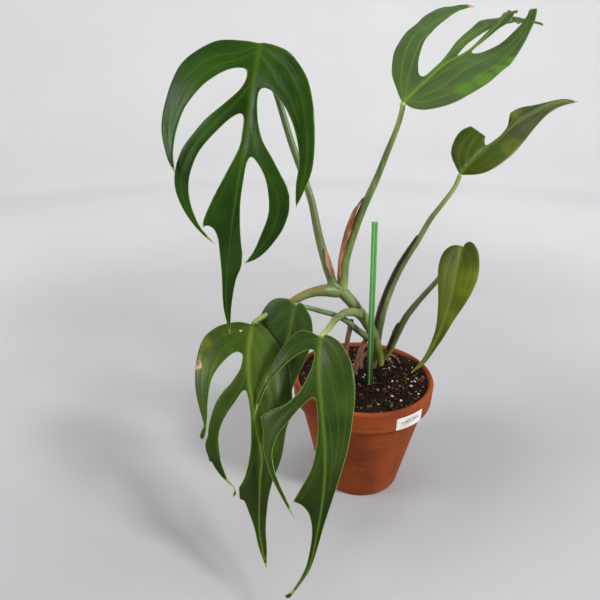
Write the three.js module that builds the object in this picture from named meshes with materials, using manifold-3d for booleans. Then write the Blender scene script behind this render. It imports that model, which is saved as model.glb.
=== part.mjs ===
// A young climbing aroid with deeply slotted leaves, growing in a round terracotta pot.
// Units are millimetres and +Z is up. The plant is laid out round the pot's axis, with the
// pot standing on z = 0, and the whole group is moved at the end so that the middle of its
// bounding box stands over the origin.

import * as THREE from 'three';
import { mergeVertices } from 'three/addons/utils/BufferGeometryUtils.js';
import Module from 'manifold-3d';

const wasm = await Module();
wasm.setup();

// Driving dimensions of the pot and what fills it
const GAP = 0.3;
const POT_HEIGHT = 102;
const RIM_RADIUS = 60;
const COLLAR_HEIGHT = 19;
const COLLAR_LOW_RADIUS = 59;
const BODY_TOP_RADIUS = 54.3;
const BASE_RADIUS = 36;
const WALL = 4.5;
const FLOOR = 7;
const DRAIN_RADIUS = 6;
const POT_SIDES = 48;
const SOIL_TOP = 99.3;
const SOIL_RELIEF = 1;

// Driving dimensions of the stake and the label
const STAKE = { foot: [5, -18, 30], top: [3, 0, 236], width: 4.6, depth: 3, corner: 0.9 };
const LABEL = { from: 20, to: 45.5, low: 84.5, high: 95.7, thickness: 0.5 };

// Driving dimensions of the plant
const BLADE_THICKNESS = 0.9;
const EDGE_STEP = 5;
const FACE_STEP = 8;
const LIMB_STEP = 8;

// The stem rises from the soil at the back right and leans to the upper left.
// A limb is a list of points with the radius at each.
const STEM = [
  [19, 23.5, 84, 3.2], [17, 20, 106, 4.1], [13, 15.5, 122, 4.2], [8.5, 11.5, 135, 4.4], [2, 8, 148, 4.6],
  [-5.5, 5, 159, 4.7], [-13.5, 2, 170.5, 4.8], [-21, 0, 179, 4.9], [-27.5, -1, 184.5, 4.2], [-31, -2, 188, 2.4],
];
const NODE_SCARS = [0.16, 0.42, 0.58, 0.68, 0.78, 0.88];

// The leaf stalks, from the stem to the foot of each blade, numbered as the blades are.
const PETIOLES = {
  petiole_1: [
    [-27, -1, 184, 3.2], [-32, 1, 198, 3.5], [-39, 4, 222, 3.2], [-45, 9, 249, 2.9], [-51.5, 13, 268, 2.7],
    [-61, 16, 294, 2.6], [-70, 18, 323, 2.4], [-77, 15, 343, 2.3], [-80.5, 7, 354, 2.3], [-80.3, -1.4, 358, 2.0],
  ],
  petiole_2: [
    [-20, 0, 181, 4.0], [-19, 2, 203, 3.9], [-14, 5, 221, 3.6], [-6.5, 8, 242, 3.1], [4, 10, 267, 2.6],
    [10, 9, 285, 2.3], [15.5, 5, 303, 2.0], [17.5, 1, 315, 1.9], [17.5, -1, 320.5, 1.9],
  ],
  petiole_3: [
    [13, 17, 118, 3.0], [14, 13, 147, 3.9], [19, 13, 170, 3.5], [28, 14, 194, 2.9], [41, 16, 217, 2.3],
    [49, 17, 233, 2.1], [58, 18, 246, 1.9], [66, 19, 258, 1.8], [69.5, 19.5, 268, 1.8],
  ],
  petiole_4: [
    [20, 20.5, 105, 2.2], [24.5, 17.5, 115, 2.8], [29.5, 14, 133, 3.0], [36, 13, 150, 2.8], [46, 14, 165, 2.4],
    [60, 16, 182.5, 2.1], [71, 18, 199, 1.9], [77, 18, 211, 1.8],
  ],
  petiole_5: [
    [-24, -1, 179, 3.6], [-36, -6, 182, 4.0], [-50, -10, 180, 3.5], [-65, -17, 174, 2.9], [-76, -19.5, 169.5, 2.5],
    [-85, -26.5, 167, 2.2], [-90, -31.5, 165, 2.0],
  ],
  petiole_6: [
    [4, 9, 143, 3.4], [-2, 2, 155, 3.9], [-8, -4, 161.5, 3.7], [-13.5, -9.5, 165, 3.4], [-20, -17, 167, 3.0],
    [-27, -27, 166.5, 2.7], [-32, -39, 166, 2.3], [-37, -51, 166.5, 2.0], [-39, -55.5, 166.5, 1.9],
  ],
  petiole_7: [
    [8, 14, 127, 2.4], [1, 6, 136, 2.7], [-7, 2, 144, 2.6], [-16, -3, 154, 2.4], [-26, -9, 162, 2.2],
    [-37, -15, 168, 2.0], [-48, -21, 174, 1.8], [-58, -26, 179, 1.6],
  ],
};

// Aerial roots reach down from the stem into the soil.
const ROOTS = {
  aerial_root_1: [[-11, 4, 152, 1.6], [-12, 3, 146, 2.3], [-14, 0, 137, 2.1], [-16, -4, 120, 2.0], [-18, -6, 90, 1.6]],
  aerial_root_2: [[6, 12, 136, 1.5], [3, 13, 129, 2.2], [-1, 11, 119, 2.3], [-5, 8, 105, 2.2], [-8, 5, 88, 1.7]],
  aerial_root_3: [[12, 17, 119, 1.2], [5, 17, 113, 1.7], [0, 15, 106, 1.7], [2, 12, 95, 1.6], [4, 10, 88, 1.3]],
  aerial_root_4: [[15, 20, 107, 1.2], [13, 17, 103, 1.6], [11, 14, 97, 1.6], [10, 12, 86, 1.3]],
  aerial_root_5: [[19, 23, 104, 1.0], [25, 23, 103, 1.3], [30, 24, 98, 1.3], [33, 26, 88, 1.1]],
  aerial_root_6: [[24, 18.5, 111, 0.7], [30, 20, 108, 0.9], [35, 22, 101, 0.9], [39, 24, 88, 0.8]],
};

// Dried sheaths hug one side of a stalk: from and to are shares of its length, and around is
// the middle of the strip in degrees about the stalk, of half width spread.
const SHEATHS = {
  sheath_1: { on: 'petiole_1', from: 0.04, to: 0.24, around: 20, spread: 60 },
  sheath_2: { on: 'petiole_2', from: 0.06, to: 0.5, around: 20, spread: 60 },
  sheath_3: { on: 'petiole_3', from: 0.12, to: 0.72, around: 190, spread: 60 },
  sheath_4: { on: 'petiole_4', from: 0.1, to: 0.34, around: 10, spread: 60 },
};
const SHEATH_THICKNESS = 0.8;
const SHEATH_GAP = 0.45;

// A blade is drawn flat, as lengths along its rib and out to either side of it, and then laid
// on a surface. The rib is a line in space, face says which way the upper side looks at shares
// of its length, fold lifts each half from the rib and curl bends it on outward, in degrees
// per 10 mm. The outline runs once round the blade in smooth stretches that meet at corners.
// The first number of each pair is for the side of negative widths, the second for positive.
const BLADES = {
  blade_1: {
    rib: [[-80, -2, 358], [-85, -20, 332], [-89, -33, 303], [-94, -40, 278], [-101, -44, 240], [-107, -43, 193],
      [-106, -41, 160]],
    face: [[0, [-0.22, -0.7, 0.65]], [0.3, [-0.2, -0.95, 0.3]], [1, [-0.05, -1, 0.1]]],
    fold: [[8, 8], [8, 8]],
    curl: [[-3, -3], [-3, -3]],
    outline: [
      [[0, 2], [-1.5, 13.5], [-1, 34], [12, 53.5], [30, 59.5], [52, 62], [72.5, 61], [88.5, 56.5],
        [98.5, 50.5]],
      [[92.5, 51], [84, 51.5], [64, 49], [48, 44.5], [32, 33], [22, 20], [20, 8], [26, 5], [35, 8],
        [45, 17], [58, 30], [73, 38], [85, 42.5], [97, 44], [109, 41.5], [122, 33], [133.5, 20],
        [139.5, 9.5]],
      [[134, 16], [127, 23], [115, 30], [101, 33], [86, 31], [72, 25], [58, 15], [51.5, 7], [53, 3.5],
        [62, 3], [74, 3.5], [90, 8.5], [110, 15.5], [123.5, 19.5], [129.5, 19.5]],
      [[128, 18], [127.5, 15.5], [129, 12], [133.5, 9], [141, 7], [163, 3.5], [190, 2], [210, 0]],
      [[184, -4], [163, -7], [152, -10], [142, -10]],
      [[128, -7], [109, -4], [90, -3.5], [81, -4], [78, -7], [85, -15], [95, -20.5], [111, -24],
        [129, -20.5], [140, -17], [149, -12]],
      [[144, -20], [136, -27], [122, -34.5], [108, -37.5], [97, -36]],
      [[90, -32], [78, -22], [67, -12], [55, -7], [40, -5], [34, -7], [36, -14], [46, -24], [60, -32.5],
        [75, -38], [91, -39], [103.5, -41.5]],
      [[92, -45], [78, -47.5], [60, -45.5], [42, -42], [26, -36], [10, -23], [3, -11], [0, -2]],
    ],
    drifts: [{ from: 40, to: 100, inner: 45.5, outer: 70, by: [8, -7, 0] }],
  },
  blade_2: {
    rib: [[18, 0, 321], [32, 16, 331], [54, 38, 346], [70.9, 56, 352.6], [88.2, 71, 362.7], [105, 86, 374.8],
      [118.2, 99, 385.6], [128, 110, 385], [138, 119, 378]],
    face: [[0, [-0.3, -0.8, 0.5]], [1, [-0.3, -0.8, 0.6]]],
    fold: [[34, 0], [8, 42]],
    curl: [[-4, -4], [-4, 0]],
    outline: [
      [[-1, 2], [-3, 9], [0, 17], [11, 27], [28, 34], [49.5, 41], [72.5, 42], [102, 39], [134, 32],
        [148, 27.5], [156, 22.5], [164, 16]],
      [[163.5, 13.5], [147.5, 20.5], [139, 21.5], [126.5, 21], [108.5, 20], [98, 15.5], [90, 10.5],
        [89.5, 5], [97.5, 2.5], [109.5, 3], [129, 4.5], [140.5, 9], [164, 3.5], [166.5, 0]],
      [[158.5, -3.5], [145, -3], [122.5, -2.5], [98.5, -1], [86, -1], [78.5, -1.5], [85, -3], [98.5, -6],
        [119, -8.5], [138.5, -10.5], [153, -7.5], [169.5, -11.5], [179.5, -16.5]],
      [[181.5, -20], [175, -17], [172, -18.5], [167, -20.5], [154, -21], [141.5, -24.5], [119, -18.5],
        [101, -14.5], [83, -10], [60, -4], [43.5, -3], [33, -3.5], [31, -7], [38, -13], [49.5, -19],
        [67.5, -26], [91.5, -32], [115, -35], [128.5, -34.5], [140.5, -31.5], [147, -27]],
      [[147.5, -33], [145.5, -40], [134.5, -47.5], [119.5, -50.5], [97, -48], [65, -40], [44, -35],
        [28, -30], [12, -20], [3, -9], [-1, -1]],
    ],
    drifts: [
      { from: 80, to: 180, inner: -3.6, outer: -27, by: [30, 22, -15] },
      { from: 90, to: 156, inner: 14, outer: 60, by: [0, 0, -3.4] },
    ],
  },
  blade_3: {
    rib: [[70, 20, 269], [83, 28, 280], [102, 38, 293], [124, 50, 307], [149, 59, 317], [172, 64, 319]],
    face: [[0, [-0.3, -0.8, 0.5]], [1, [-0.3, -0.8, 0.5]]],
    fold: [[10, 10], [10, 10]],
    curl: [[-3, -3], [-3, -3]],
    outline: [
      [[-1, 1], [2, 6], [6, 11], [12, 15], [22, 17.5], [38, 18], [52, 16.5], [70, 13], [88, 8], [104, 4.5],
        [118, 1.5], [125, 0]],
      [[114, -2.5], [100, -3], [88, -5], [76, -9], [67, -10]],
      [[63, -7], [57, -3], [48, -1.2], [38, -1.2], [32, -2], [33, -5], [37, -8]],
      [[36, -15], [35, -22]],
      [[27, -24], [18, -22], [8, -16], [2, -7], [-1, -1]],
    ],
    drifts: [],
  },
  blade_4: {
    rib: [[77, 17, 212], [70, 2, 190], [65, -7, 171], [57, -15, 148], [45, -22, 127], [34, -25, 117]],
    face: [[0, [-0.1, -0.8, 0.6]], [1, [-0.1, -0.8, 0.6]]],
    fold: [[12, 12], [12, 12]],
    curl: [[-6, -6], [-6, -6]],
    outline: [
      [[1, 1], [1, 5], [4, 10], [11, 14], [22, 15], [36, 12.5], [54, 8], [72, 4], [90, 2], [104, 1.5], [114, 0]],
      [[100, -2], [84, -3.5], [64, -6.5], [50, -10.5], [38, -14.5], [24, -17], [10, -15.5], [1, -12],
        [-4, -7], [-3, -3], [1, -1]],
    ],
    drifts: [],
  },
  blade_5: {
    rib: [[-90, -30, 164], [-92, -48, 151], [-91, -63, 138], [-88, -75, 123], [-85, -85, 107], [-81, -94, 92],
      [-82, -104, 76], [-82, -119, 49], [-77, -133, 28]],
    face: [[0, [-0.05, -0.5, 0.86]], [0.4, [0, -0.8, 0.6]], [1, [0, -0.8, 0.5]]],
    fold: [[-10, 8], [8, 8]],
    curl: [[-7, -3], [-7, -3]],
    outline: [
      [[0, 2], [-1, 12], [3, 26], [12, 35], [26, 39], [44, 40], [60, 38], [71, 36.5], [74.5, 38.5],
        [78, 40.5]],
      [[80, 38.5], [76, 35.5], [66, 33], [54, 31], [39.5, 26], [28, 16], [23.5, 9], [26, 4.5], [35.5, 6],
        [44.5, 12.5], [50.5, 20], [58, 26.5], [71.5, 32.5], [78, 34.5], [83, 37.5], [90, 37], [98, 37], [107, 34.5],
        [113, 28.5], [116.5, 23], [120.5, 18], [126.5, 18.5]],
      [[124, 16], [119, 18], [113.5, 23.5], [103, 28.5], [83, 27.5], [70.5, 22], [57.5, 11], [51.5, 4.5],
        [56, 2.5], [70, 2.5], [83.5, 4.5], [97.5, 8.5], [112, 10.5], [120, 14.5]],
      [[127.5, 13.5], [129, 10.5], [137, 7], [147, 3.5], [160.5, 2], [174.5, 0]],
      [[160, -3.5], [142, -5], [124, -7], [104, -12.5], [84, -22], [66, -28.5], [48, -31], [30, -29.5],
        [16, -23], [5, -14], [-1, -5], [0, -1]],
    ],
    drifts: [],
  },
  blade_6: {
    rib: [[-39, -55, 166], [-41, -71, 152], [-39, -89, 128], [-37, -104, 107], [-38, -118, 86], [-42, -132, 65],
      [-48, -144, 44], [-59, -150, 26]],
    face: [[0, [-0.25, -0.5, 0.86]], [0.4, [-0.2, -0.8, 0.6]], [1, [-0.1, -0.8, 0.5]]],
    fold: [[8, 8], [11, 8]],
    curl: [[-7, -3], [-6, -3]],
    outline: [
      [[-1, 2], [-4, 9], [-4, 17], [4, 24], [16, 31], [28, 38], [40, 46], [52, 49]],
      [[44, 45], [34, 39], [24, 29], [16, 18], [11, 9], [11, 4], [18, 3.5], [27, 7], [38, 14.5], [46, 25],
        [49, 35], [53, 44.5]],
      [[62, 43], [75, 43.5], [90, 40], [104, 34], [118, 24], [126, 16]],
      [[117, 22], [106, 29], [94, 34.5], [80, 36.5], [66, 32], [56, 22], [47, 12], [43, 5.5], [46, 3.5],
        [60, 3.5], [74, 5.5], [90, 9], [104, 15], [115, 19.5]],
      [[115.5, 16], [117, 12], [122, 7], [132, 3.5], [146, 2.5], [164, 1.5], [174, 1.5], [179, 4]],
      [[178, 0], [160, -1], [142, -2], [120, -4.5], [98, -9.5], [76, -16], [56, -21.5], [36, -24.5],
        [18, -22.5], [5, -15], [-1, -6], [-1, -1]],
    ],
    drifts: [],
  },
  blade_7: {
    rib: [[-58, -26, 179], [-62, -33, 159], [-67, -36, 136], [-70, -37, 102], [-69, -37, 89]],
    face: [[0, [-0.05, -0.8, 0.6]], [1, [0, -1, 0.1]]],
    fold: [[10, 10], [-6, 6]],
    curl: [[-8, -8], [-8, -8]],
    outline: [
      [[0, 1], [-3, 6], [-1, 16.5], [6.5, 23.5], [20, 27], [34, 24], [50, 18], [68, 10], [82, 4], [92, 0]],
      [[78, -7], [60, -12], [42, -16.5], [26, -18.5], [12, -16], [3, -11], [-2, -5], [0, -1]],
    ],
    drifts: [],
  },
};

// Finishes
const finish = (name, color, roughness) => new THREE.MeshStandardMaterial({ name, color, roughness, metalness: 0 });
const terracotta = finish('terracotta', 0xa9623c, 0.85);
const pottingSoil = finish('potting soil', 0x2b1c12, 0.95);
const greenPlastic = finish('green plastic', 0x2f8a45, 0.4);
const whiteLabel = finish('white label', 0xe6e4dc, 0.5);
const stemGreen = finish('stem green', 0x7b8a45, 0.55);
const petioleGreen = finish('leaf stalk green', 0x6f9a4a, 0.5);
const bladeGreen = finish('leaf blade green', 0x2f5322, 0.4);
const driedSheath = finish('dried sheath', 0x9a6a3c, 0.8);
const rootBrown = finish('aerial root brown', 0x7a5a42, 0.85);

// Solids: a closed mesh with merged vertices becomes a solid that can be cut, and goes back
function toSolid(geometry) {
  const bare = geometry.clone();
  bare.deleteAttribute('normal');
  bare.deleteAttribute('uv');
  const merged = mergeVertices(bare, 1e-4);
  return new wasm.Manifold(new wasm.Mesh({
    numProp: 3,
    vertProperties: new Float32Array(merged.attributes.position.array),
    triVerts: new Uint32Array(merged.index.array),
  }));
}

function toGeometry(solid) {
  const mesh = solid.getMesh();
  const geometry = new THREE.BufferGeometry();
  geometry.setAttribute('position', new THREE.BufferAttribute(mesh.vertProperties, 3));
  geometry.setIndex(new THREE.BufferAttribute(mesh.triVerts, 1));
  geometry.computeVertexNormals();
  return geometry;
}

// Reads a value from a list of [share, value] pairs, where a value is a number or a list
function between(pairs, share) {
  const next = Math.max(1, pairs.findIndex(([at]) => at >= share));
  const [[from, low], [to, high]] = [pairs[next - 1], pairs[next]];
  const mix = THREE.MathUtils.clamp((share - from) / (to - from), 0, 1);
  return Array.isArray(low) ? low.map((v, i) => v + (high[i] - v) * mix) : low + (high - low) * mix;
}

// A limb: a straight prism, one unit long, is bent along a smooth line. Its section lies on or
// near a circle of the size below: a point on the circle comes to lie on the limb's skin, and
// a point outside it as far outside the skin. relief gives the radius a factor at a share of
// the length, and grow makes the same limb thicker, for cuts.
const SECTION_CIRCLE = 10;

function limb(stations, { sides = 8, step = LIMB_STEP, relief = () => 1, grow = 0, section = null } = {}) {
  const line = new THREE.CatmullRomCurve3(stations.map(([x, y, z]) => new THREE.Vector3(x, y, z)), false, 'catmullrom');
  const steps = Math.max(4, Math.round(line.getLength() / step));
  const frames = line.computeFrenetFrames(steps, false);
  const ring = section ?? Array.from({ length: sides }, (_, i) => {
    const angle = (i / sides) * 2 * Math.PI;
    return new THREE.Vector2(Math.cos(angle), Math.sin(angle)).multiplyScalar(SECTION_CIRCLE);
  });
  const prism = new THREE.ExtrudeGeometry(new THREE.Shape(ring), { depth: 1, steps, bevelEnabled: false });
  const place = prism.attributes.position;
  for (let i = 0; i < place.count; i += 1) {
    const share = place.getZ(i);
    const station = Math.round(share * steps);
    const t = line.getUtoTmapping(share) * (stations.length - 1);
    const near = Math.min(stations.length - 2, Math.floor(t));
    const radius = THREE.MathUtils.lerp(stations[near][3], stations[near + 1][3], t - near) * relief(share) + grow;
    const reach = Math.hypot(place.getX(i), place.getY(i));
    const outward = (radius + reach - SECTION_CIRCLE) / reach;
    const point = line.getPointAt(share)
      .addScaledVector(frames.normals[station], place.getX(i) * outward)
      .addScaledVector(frames.binormals[station], place.getY(i) * outward);
    if (share === 0) point.addScaledVector(frames.tangents[0], -grow);
    if (share === 1) point.addScaledVector(frames.tangents[steps], grow);
    place.setXYZ(i, point.x, point.y, point.z);
  }
  return toSolid(prism);
}

// The stations of one stretch of a limb, between two shares of its length
function stretchOf(stations, from, to, count) {
  const line = new THREE.CatmullRomCurve3(stations.map(([x, y, z]) => new THREE.Vector3(x, y, z)), false, 'catmullrom');
  return Array.from({ length: count }, (_, i) => {
    const share = from + ((to - from) * i) / (count - 1);
    const t = line.getUtoTmapping(share) * (stations.length - 1);
    const near = Math.min(stations.length - 2, Math.floor(t));
    const point = line.getPointAt(share);
    return [point.x, point.y, point.z, THREE.MathUtils.lerp(stations[near][3], stations[near + 1][3], t - near)];
  });
}

// The surface that a blade lies on, as a function of length along the rib and width
function bladeSurface({ rib, face, fold, curl, drifts }) {
  const line = new THREE.CatmullRomCurve3(rib.map((p) => new THREE.Vector3(...p)), false, 'catmullrom');
  line.arcLengthDivisions = 400;
  const length = line.getLength();
  return (along, across) => {
    const share = THREE.MathUtils.clamp(along / length, 0, 1);
    const tangent = line.getTangentAt(share);
    const up = new THREE.Vector3(...between(face, share));
    up.addScaledVector(tangent, -up.dot(tangent)).normalize();
    const side = new THREE.Vector3().crossVectors(tangent, up);
    const half = across > 0 ? 1 : 0;
    const lift = THREE.MathUtils.degToRad(THREE.MathUtils.lerp(...fold[half], share));
    const bend = THREE.MathUtils.degToRad(THREE.MathUtils.lerp(...curl[half], share)) / 10 || 1e-6;
    const out = Math.abs(across);
    const point = line.getPointAt(share)
      .addScaledVector(tangent, along - share * length)
      .addScaledVector(side, Math.sign(across) * (Math.sin(lift + bend * out) - Math.sin(lift)) / bend)
      .addScaledVector(up, (Math.cos(lift) - Math.cos(lift + bend * out)) / bend);
    for (const drift of drifts) {
      const inside = across > Math.min(drift.inner, drift.outer) && across < Math.max(drift.inner, drift.outer);
      const reach = THREE.MathUtils.clamp((along - drift.from) / (drift.to - drift.from), 0, 1);
      if (inside) point.addScaledVector(new THREE.Vector3(...drift.by), reach * reach);
    }
    return point;
  };
}

// Smooth stretches become one closed ring of points, with a point every few millimetres
function ringOf(outline) {
  const ring = [];
  let corner = outline[0][0];
  outline.forEach((stretch, i) => {
    const points = (i === 0 ? stretch : [corner, ...stretch]).map(([x, y]) => new THREE.Vector2(x, y));
    const line = new THREE.SplineCurve(points);
    for (let k = 0; k < points.length - 1; k += 1) {
      const count = Math.max(1, Math.round(points[k].distanceTo(points[k + 1]) / EDGE_STEP));
      for (let j = 0; j < count; j += 1) ring.push(line.getPoint((k + j / count) / (points.length - 1)));
    }
    corner = stretch[stretch.length - 1];
  });
  ring.push(new THREE.Vector2(...corner));
  return ring;
}

const cross = (a, b, c) => (b.x - a.x) * (c.y - a.y) - (b.y - a.y) * (c.x - a.x);

function isInside(point, ring) {
  let inside = false;
  for (let i = 0, j = ring.length - 1; i < ring.length; j = i, i += 1) {
    const [a, b] = [ring[i], ring[j]];
    const crosses = (a.y > point.y) !== (b.y > point.y);
    if (crosses && point.x < ((b.x - a.x) * (point.y - a.y)) / (b.y - a.y) + a.x) inside = !inside;
  }
  return inside;
}

function distanceToRing(point, ring) {
  return ring.reduce((least, a, i) => {
    const b = ring[(i + 1) % ring.length];
    const edge = b.clone().sub(a);
    const share = THREE.MathUtils.clamp(point.clone().sub(a).dot(edge) / edge.lengthSq(), 0, 1);
    return Math.min(least, a.clone().addScaledVector(edge, share).distanceTo(point));
  }, Infinity);
}

// Splits the ring into triangles with a grid of points inside it, and turns the edge between
// two triangles wherever that makes both better shaped
function triangulate(ring) {
  const points = [...ring];
  const faces = THREE.ShapeUtils.triangulateShape(ring, []).map((face) => (
    cross(points[face[0]], points[face[1]], points[face[2]]) > 0 ? face : [face[0], face[2], face[1]]
  ));
  const reach = ring.reduce((most, p) => Math.max(most, Math.abs(p.x), Math.abs(p.y)), 0);
  const row = FACE_STEP * Math.sqrt(0.75);
  for (let x = -2 * row, odd = 0; x < reach; x += row, odd = 1 - odd) {
    for (let y = -reach + (odd * FACE_STEP) / 2; y < reach; y += FACE_STEP) {
      const point = new THREE.Vector2(x, y);
      if (!isInside(point, ring) || distanceToRing(point, ring) < FACE_STEP * 0.45) continue;
      const at = faces.findIndex(([a, b, c]) => (
        cross(points[a], points[b], point) > 1e-6 && cross(points[b], points[c], point) > 1e-6
          && cross(points[c], points[a], point) > 1e-6
      ));
      if (at < 0) continue;
      const [a, b, c] = faces[at];
      const fresh = points.push(point) - 1;
      faces.splice(at, 1, [a, b, fresh], [b, c, fresh], [c, a, fresh]);
    }
  }
  for (let round = 0; round < 40; round += 1) {
    if (!turnEdges(points, faces)) break;
  }
  return { points, faces };
}

// One round of turning edges: an edge is turned when the far corner of one triangle lies in
// the circle round the other
function turnEdges(points, faces) {
  const owner = new Map();
  faces.forEach((face, f) => {
    for (let i = 0; i < 3; i += 1) owner.set(`${face[i]},${face[(i + 1) % 3]}`, [f, face[(i + 2) % 3]]);
  });
  const touched = new Set();
  let turned = 0;
  for (const [edge, [f, c]] of owner) {
    const [a, b] = edge.split(',').map(Number);
    const other = owner.get(`${b},${a}`);
    if (!other || a > b || touched.has(f) || touched.has(other[0])) continue;
    const [g, d] = other;
    const angle = (p, q, r) => {
      const u = q.clone().sub(p);
      const v = r.clone().sub(p);
      return Math.acos(THREE.MathUtils.clamp(u.dot(v) / (u.length() * v.length()), -1, 1));
    };
    const facing = angle(points[c], points[a], points[b]) + angle(points[d], points[a], points[b]);
    const convex = cross(points[c], points[a], points[d]) > 1e-4 && cross(points[d], points[b], points[c]) > 1e-4;
    if (facing > Math.PI + 1e-6 && convex) {
      faces[f] = [a, d, c];
      faces[g] = [d, b, c];
      touched.add(f).add(g);
      turned += 1;
    }
  }
  return turned;
}

// A blade: the flat triangles are laid on the surface twice, half a thickness to either side,
// and joined round the edge
function blade(spec) {
  const ring = ringOf(spec.outline);
  const { points, faces } = triangulate(ring);
  const surface = bladeSurface(spec);
  const sheet = new THREE.BufferGeometry();
  const spots = points.map(({ x, y }) => surface(x, y));
  sheet.setAttribute('position', new THREE.Float32BufferAttribute(spots.flatMap((p) => p.toArray()), 3));
  sheet.setIndex(faces.flat());
  sheet.computeVertexNormals();
  const normals = spots.map((_, i) => new THREE.Vector3().fromBufferAttribute(sheet.attributes.normal, i));
  const layer = (offset) => spots.map((p, i) => p.clone().addScaledVector(normals[i], offset));
  const both = [...layer(BLADE_THICKNESS / 2), ...layer(-BLADE_THICKNESS / 2)];
  const under = spots.length;
  const triangles = faces.flatMap(([a, b, c]) => [[a, b, c], [a + under, c + under, b + under]]);
  const edges = new Set(faces.flatMap(([a, b, c]) => [`${a},${b}`, `${b},${c}`, `${c},${a}`]));
  for (const edge of edges) {
    const [a, b] = edge.split(',').map(Number);
    if (!edges.has(`${b},${a}`)) triangles.push([a, a + under, b + under], [a, b + under, b]);
  }
  const body = new THREE.BufferGeometry();
  body.setAttribute('position', new THREE.Float32BufferAttribute(both.flatMap((p) => p.toArray()), 3));
  body.setIndex(triangles.flat());
  return toSolid(body);
}

// The pot: one turned profile, from the drain hole out under the foot, up the body and the
// collar, over the rounded lip and back down inside
function pot() {
  const collarFoot = POT_HEIGHT - COLLAR_HEIGHT;
  const lip = 1.6;
  const innerTop = RIM_RADIUS - WALL;
  const profile = [
    [DRAIN_RADIUS, 0], [BASE_RADIUS - 1.5, 0], [BASE_RADIUS, 1.2], [BODY_TOP_RADIUS, collarFoot],
    [COLLAR_LOW_RADIUS - 0.8, collarFoot], [COLLAR_LOW_RADIUS, collarFoot + 0.8],
    [RIM_RADIUS, POT_HEIGHT - lip * 1.5], [RIM_RADIUS - 0.5, POT_HEIGHT - 0.5], [RIM_RADIUS - lip, POT_HEIGHT],
    [innerTop + lip, POT_HEIGHT], [innerTop + 0.4, POT_HEIGHT - 0.8], [innerTop, POT_HEIGHT - lip * 1.5],
    [BODY_TOP_RADIUS - WALL, collarFoot - 4], [BASE_RADIUS - WALL + 1, FLOOR], [DRAIN_RADIUS, FLOOR],
    [DRAIN_RADIUS, 0],
  ].map(([r, z]) => new THREE.Vector2(r, z));
  return toSolid(new THREE.LatheGeometry(profile, POT_SIDES).rotateX(Math.PI / 2));
}

// The soil fills the pot. Its top is crumbly: rings of points that rise and sink by a formula.
function soil() {
  const collarFoot = POT_HEIGHT - COLLAR_HEIGHT;
  const wallAt = (z) => {
    const inside = [
      [FLOOR, BASE_RADIUS - WALL + 1], [collarFoot - 4, BODY_TOP_RADIUS - WALL],
      [POT_HEIGHT - 2.4, RIM_RADIUS - WALL],
    ];
    return between(inside, z) - GAP;
  };
  const rings = [0.96, 0.84, 0.72, 0.6, 0.48, 0.36, 0.24, 0.12];
  const shoulder = SOIL_TOP - 1.5;
  const edge = wallAt(shoulder);
  const profile = [
    [0, FLOOR + GAP], [wallAt(FLOOR), FLOOR + GAP], [wallAt(collarFoot - 4), collarFoot - 4],
    [edge, shoulder], ...rings.map((share) => [edge * share, SOIL_TOP]), [0, SOIL_TOP],
  ].map(([r, z]) => new THREE.Vector2(r, z));
  const body = new THREE.LatheGeometry(profile, POT_SIDES).rotateX(Math.PI / 2);
  const place = body.attributes.position;
  for (let i = 0; i < place.count; i += 1) {
    const [x, y] = [place.getX(i), place.getY(i)];
    const radius = Math.hypot(x, y);
    if (place.getZ(i) === SOIL_TOP && radius > 1) {
      const crumbs = Math.sin(x * 0.61 + 1.3) * Math.cos(y * 0.53) + 0.6 * Math.sin(x * 1.7 - y * 1.3);
      place.setZ(i, SOIL_TOP + SOIL_RELIEF * crumbs);
    }
  }
  return toSolid(body);
}

// The stake: a slim bar with rounded corners, pushed into the soil with a slight lean
function stake(grow = 0) {
  const { foot, top, width, depth, corner } = STAKE;
  const [w, d] = [width / 2 + grow, depth / 2 + grow];
  const outline = new THREE.Shape()
    .moveTo(-w + corner, -d).lineTo(w - corner, -d).quadraticCurveTo(w, -d, w, -d + corner)
    .lineTo(w, d - corner).quadraticCurveTo(w, d, w - corner, d)
    .lineTo(-w + corner, d).quadraticCurveTo(-w, d, -w, d - corner)
    .lineTo(-w, -d + corner).quadraticCurveTo(-w, -d, -w + corner, -d);
  const line = new THREE.Vector3(...top).sub(new THREE.Vector3(...foot));
  const bar = new THREE.ExtrudeGeometry(outline, {
    depth: line.length() + 2 * grow, bevelEnabled: false, curveSegments: 2,
  });
  bar.translate(0, 0, -grow);
  bar.applyQuaternion(new THREE.Quaternion().setFromUnitVectors(new THREE.Vector3(0, 0, 1), line.normalize()));
  bar.translate(...foot);
  return toSolid(bar);
}

// The label: a thin strip that lies round the collar
function label() {
  const slope = (RIM_RADIUS - COLLAR_LOW_RADIUS) / COLLAR_HEIGHT;
  const radiusAt = (z) => RIM_RADIUS - (POT_HEIGHT - z) * slope + GAP;
  const { from, to, low, high, thickness } = LABEL;
  const profile = [
    [radiusAt(low), low], [radiusAt(low) + thickness, low], [radiusAt(high) + thickness, high],
    [radiusAt(high), high],
  ];
  const start = THREE.MathUtils.degToRad(from - 90);
  const sweep = THREE.MathUtils.degToRad(to - from);
  const steps = 8;
  const strip = new THREE.ExtrudeGeometry(
    new THREE.Shape(profile.map(([r, z]) => new THREE.Vector2(r, z))),
    { depth: 1, steps, bevelEnabled: false },
  );
  const place = strip.attributes.position;
  for (let i = 0; i < place.count; i += 1) {
    const angle = start + sweep * (1 - place.getZ(i));
    const radius = place.getX(i);
    place.setXYZ(i, radius * Math.cos(angle), radius * Math.sin(angle), place.getY(i));
  }
  return toSolid(strip);
}

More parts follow.
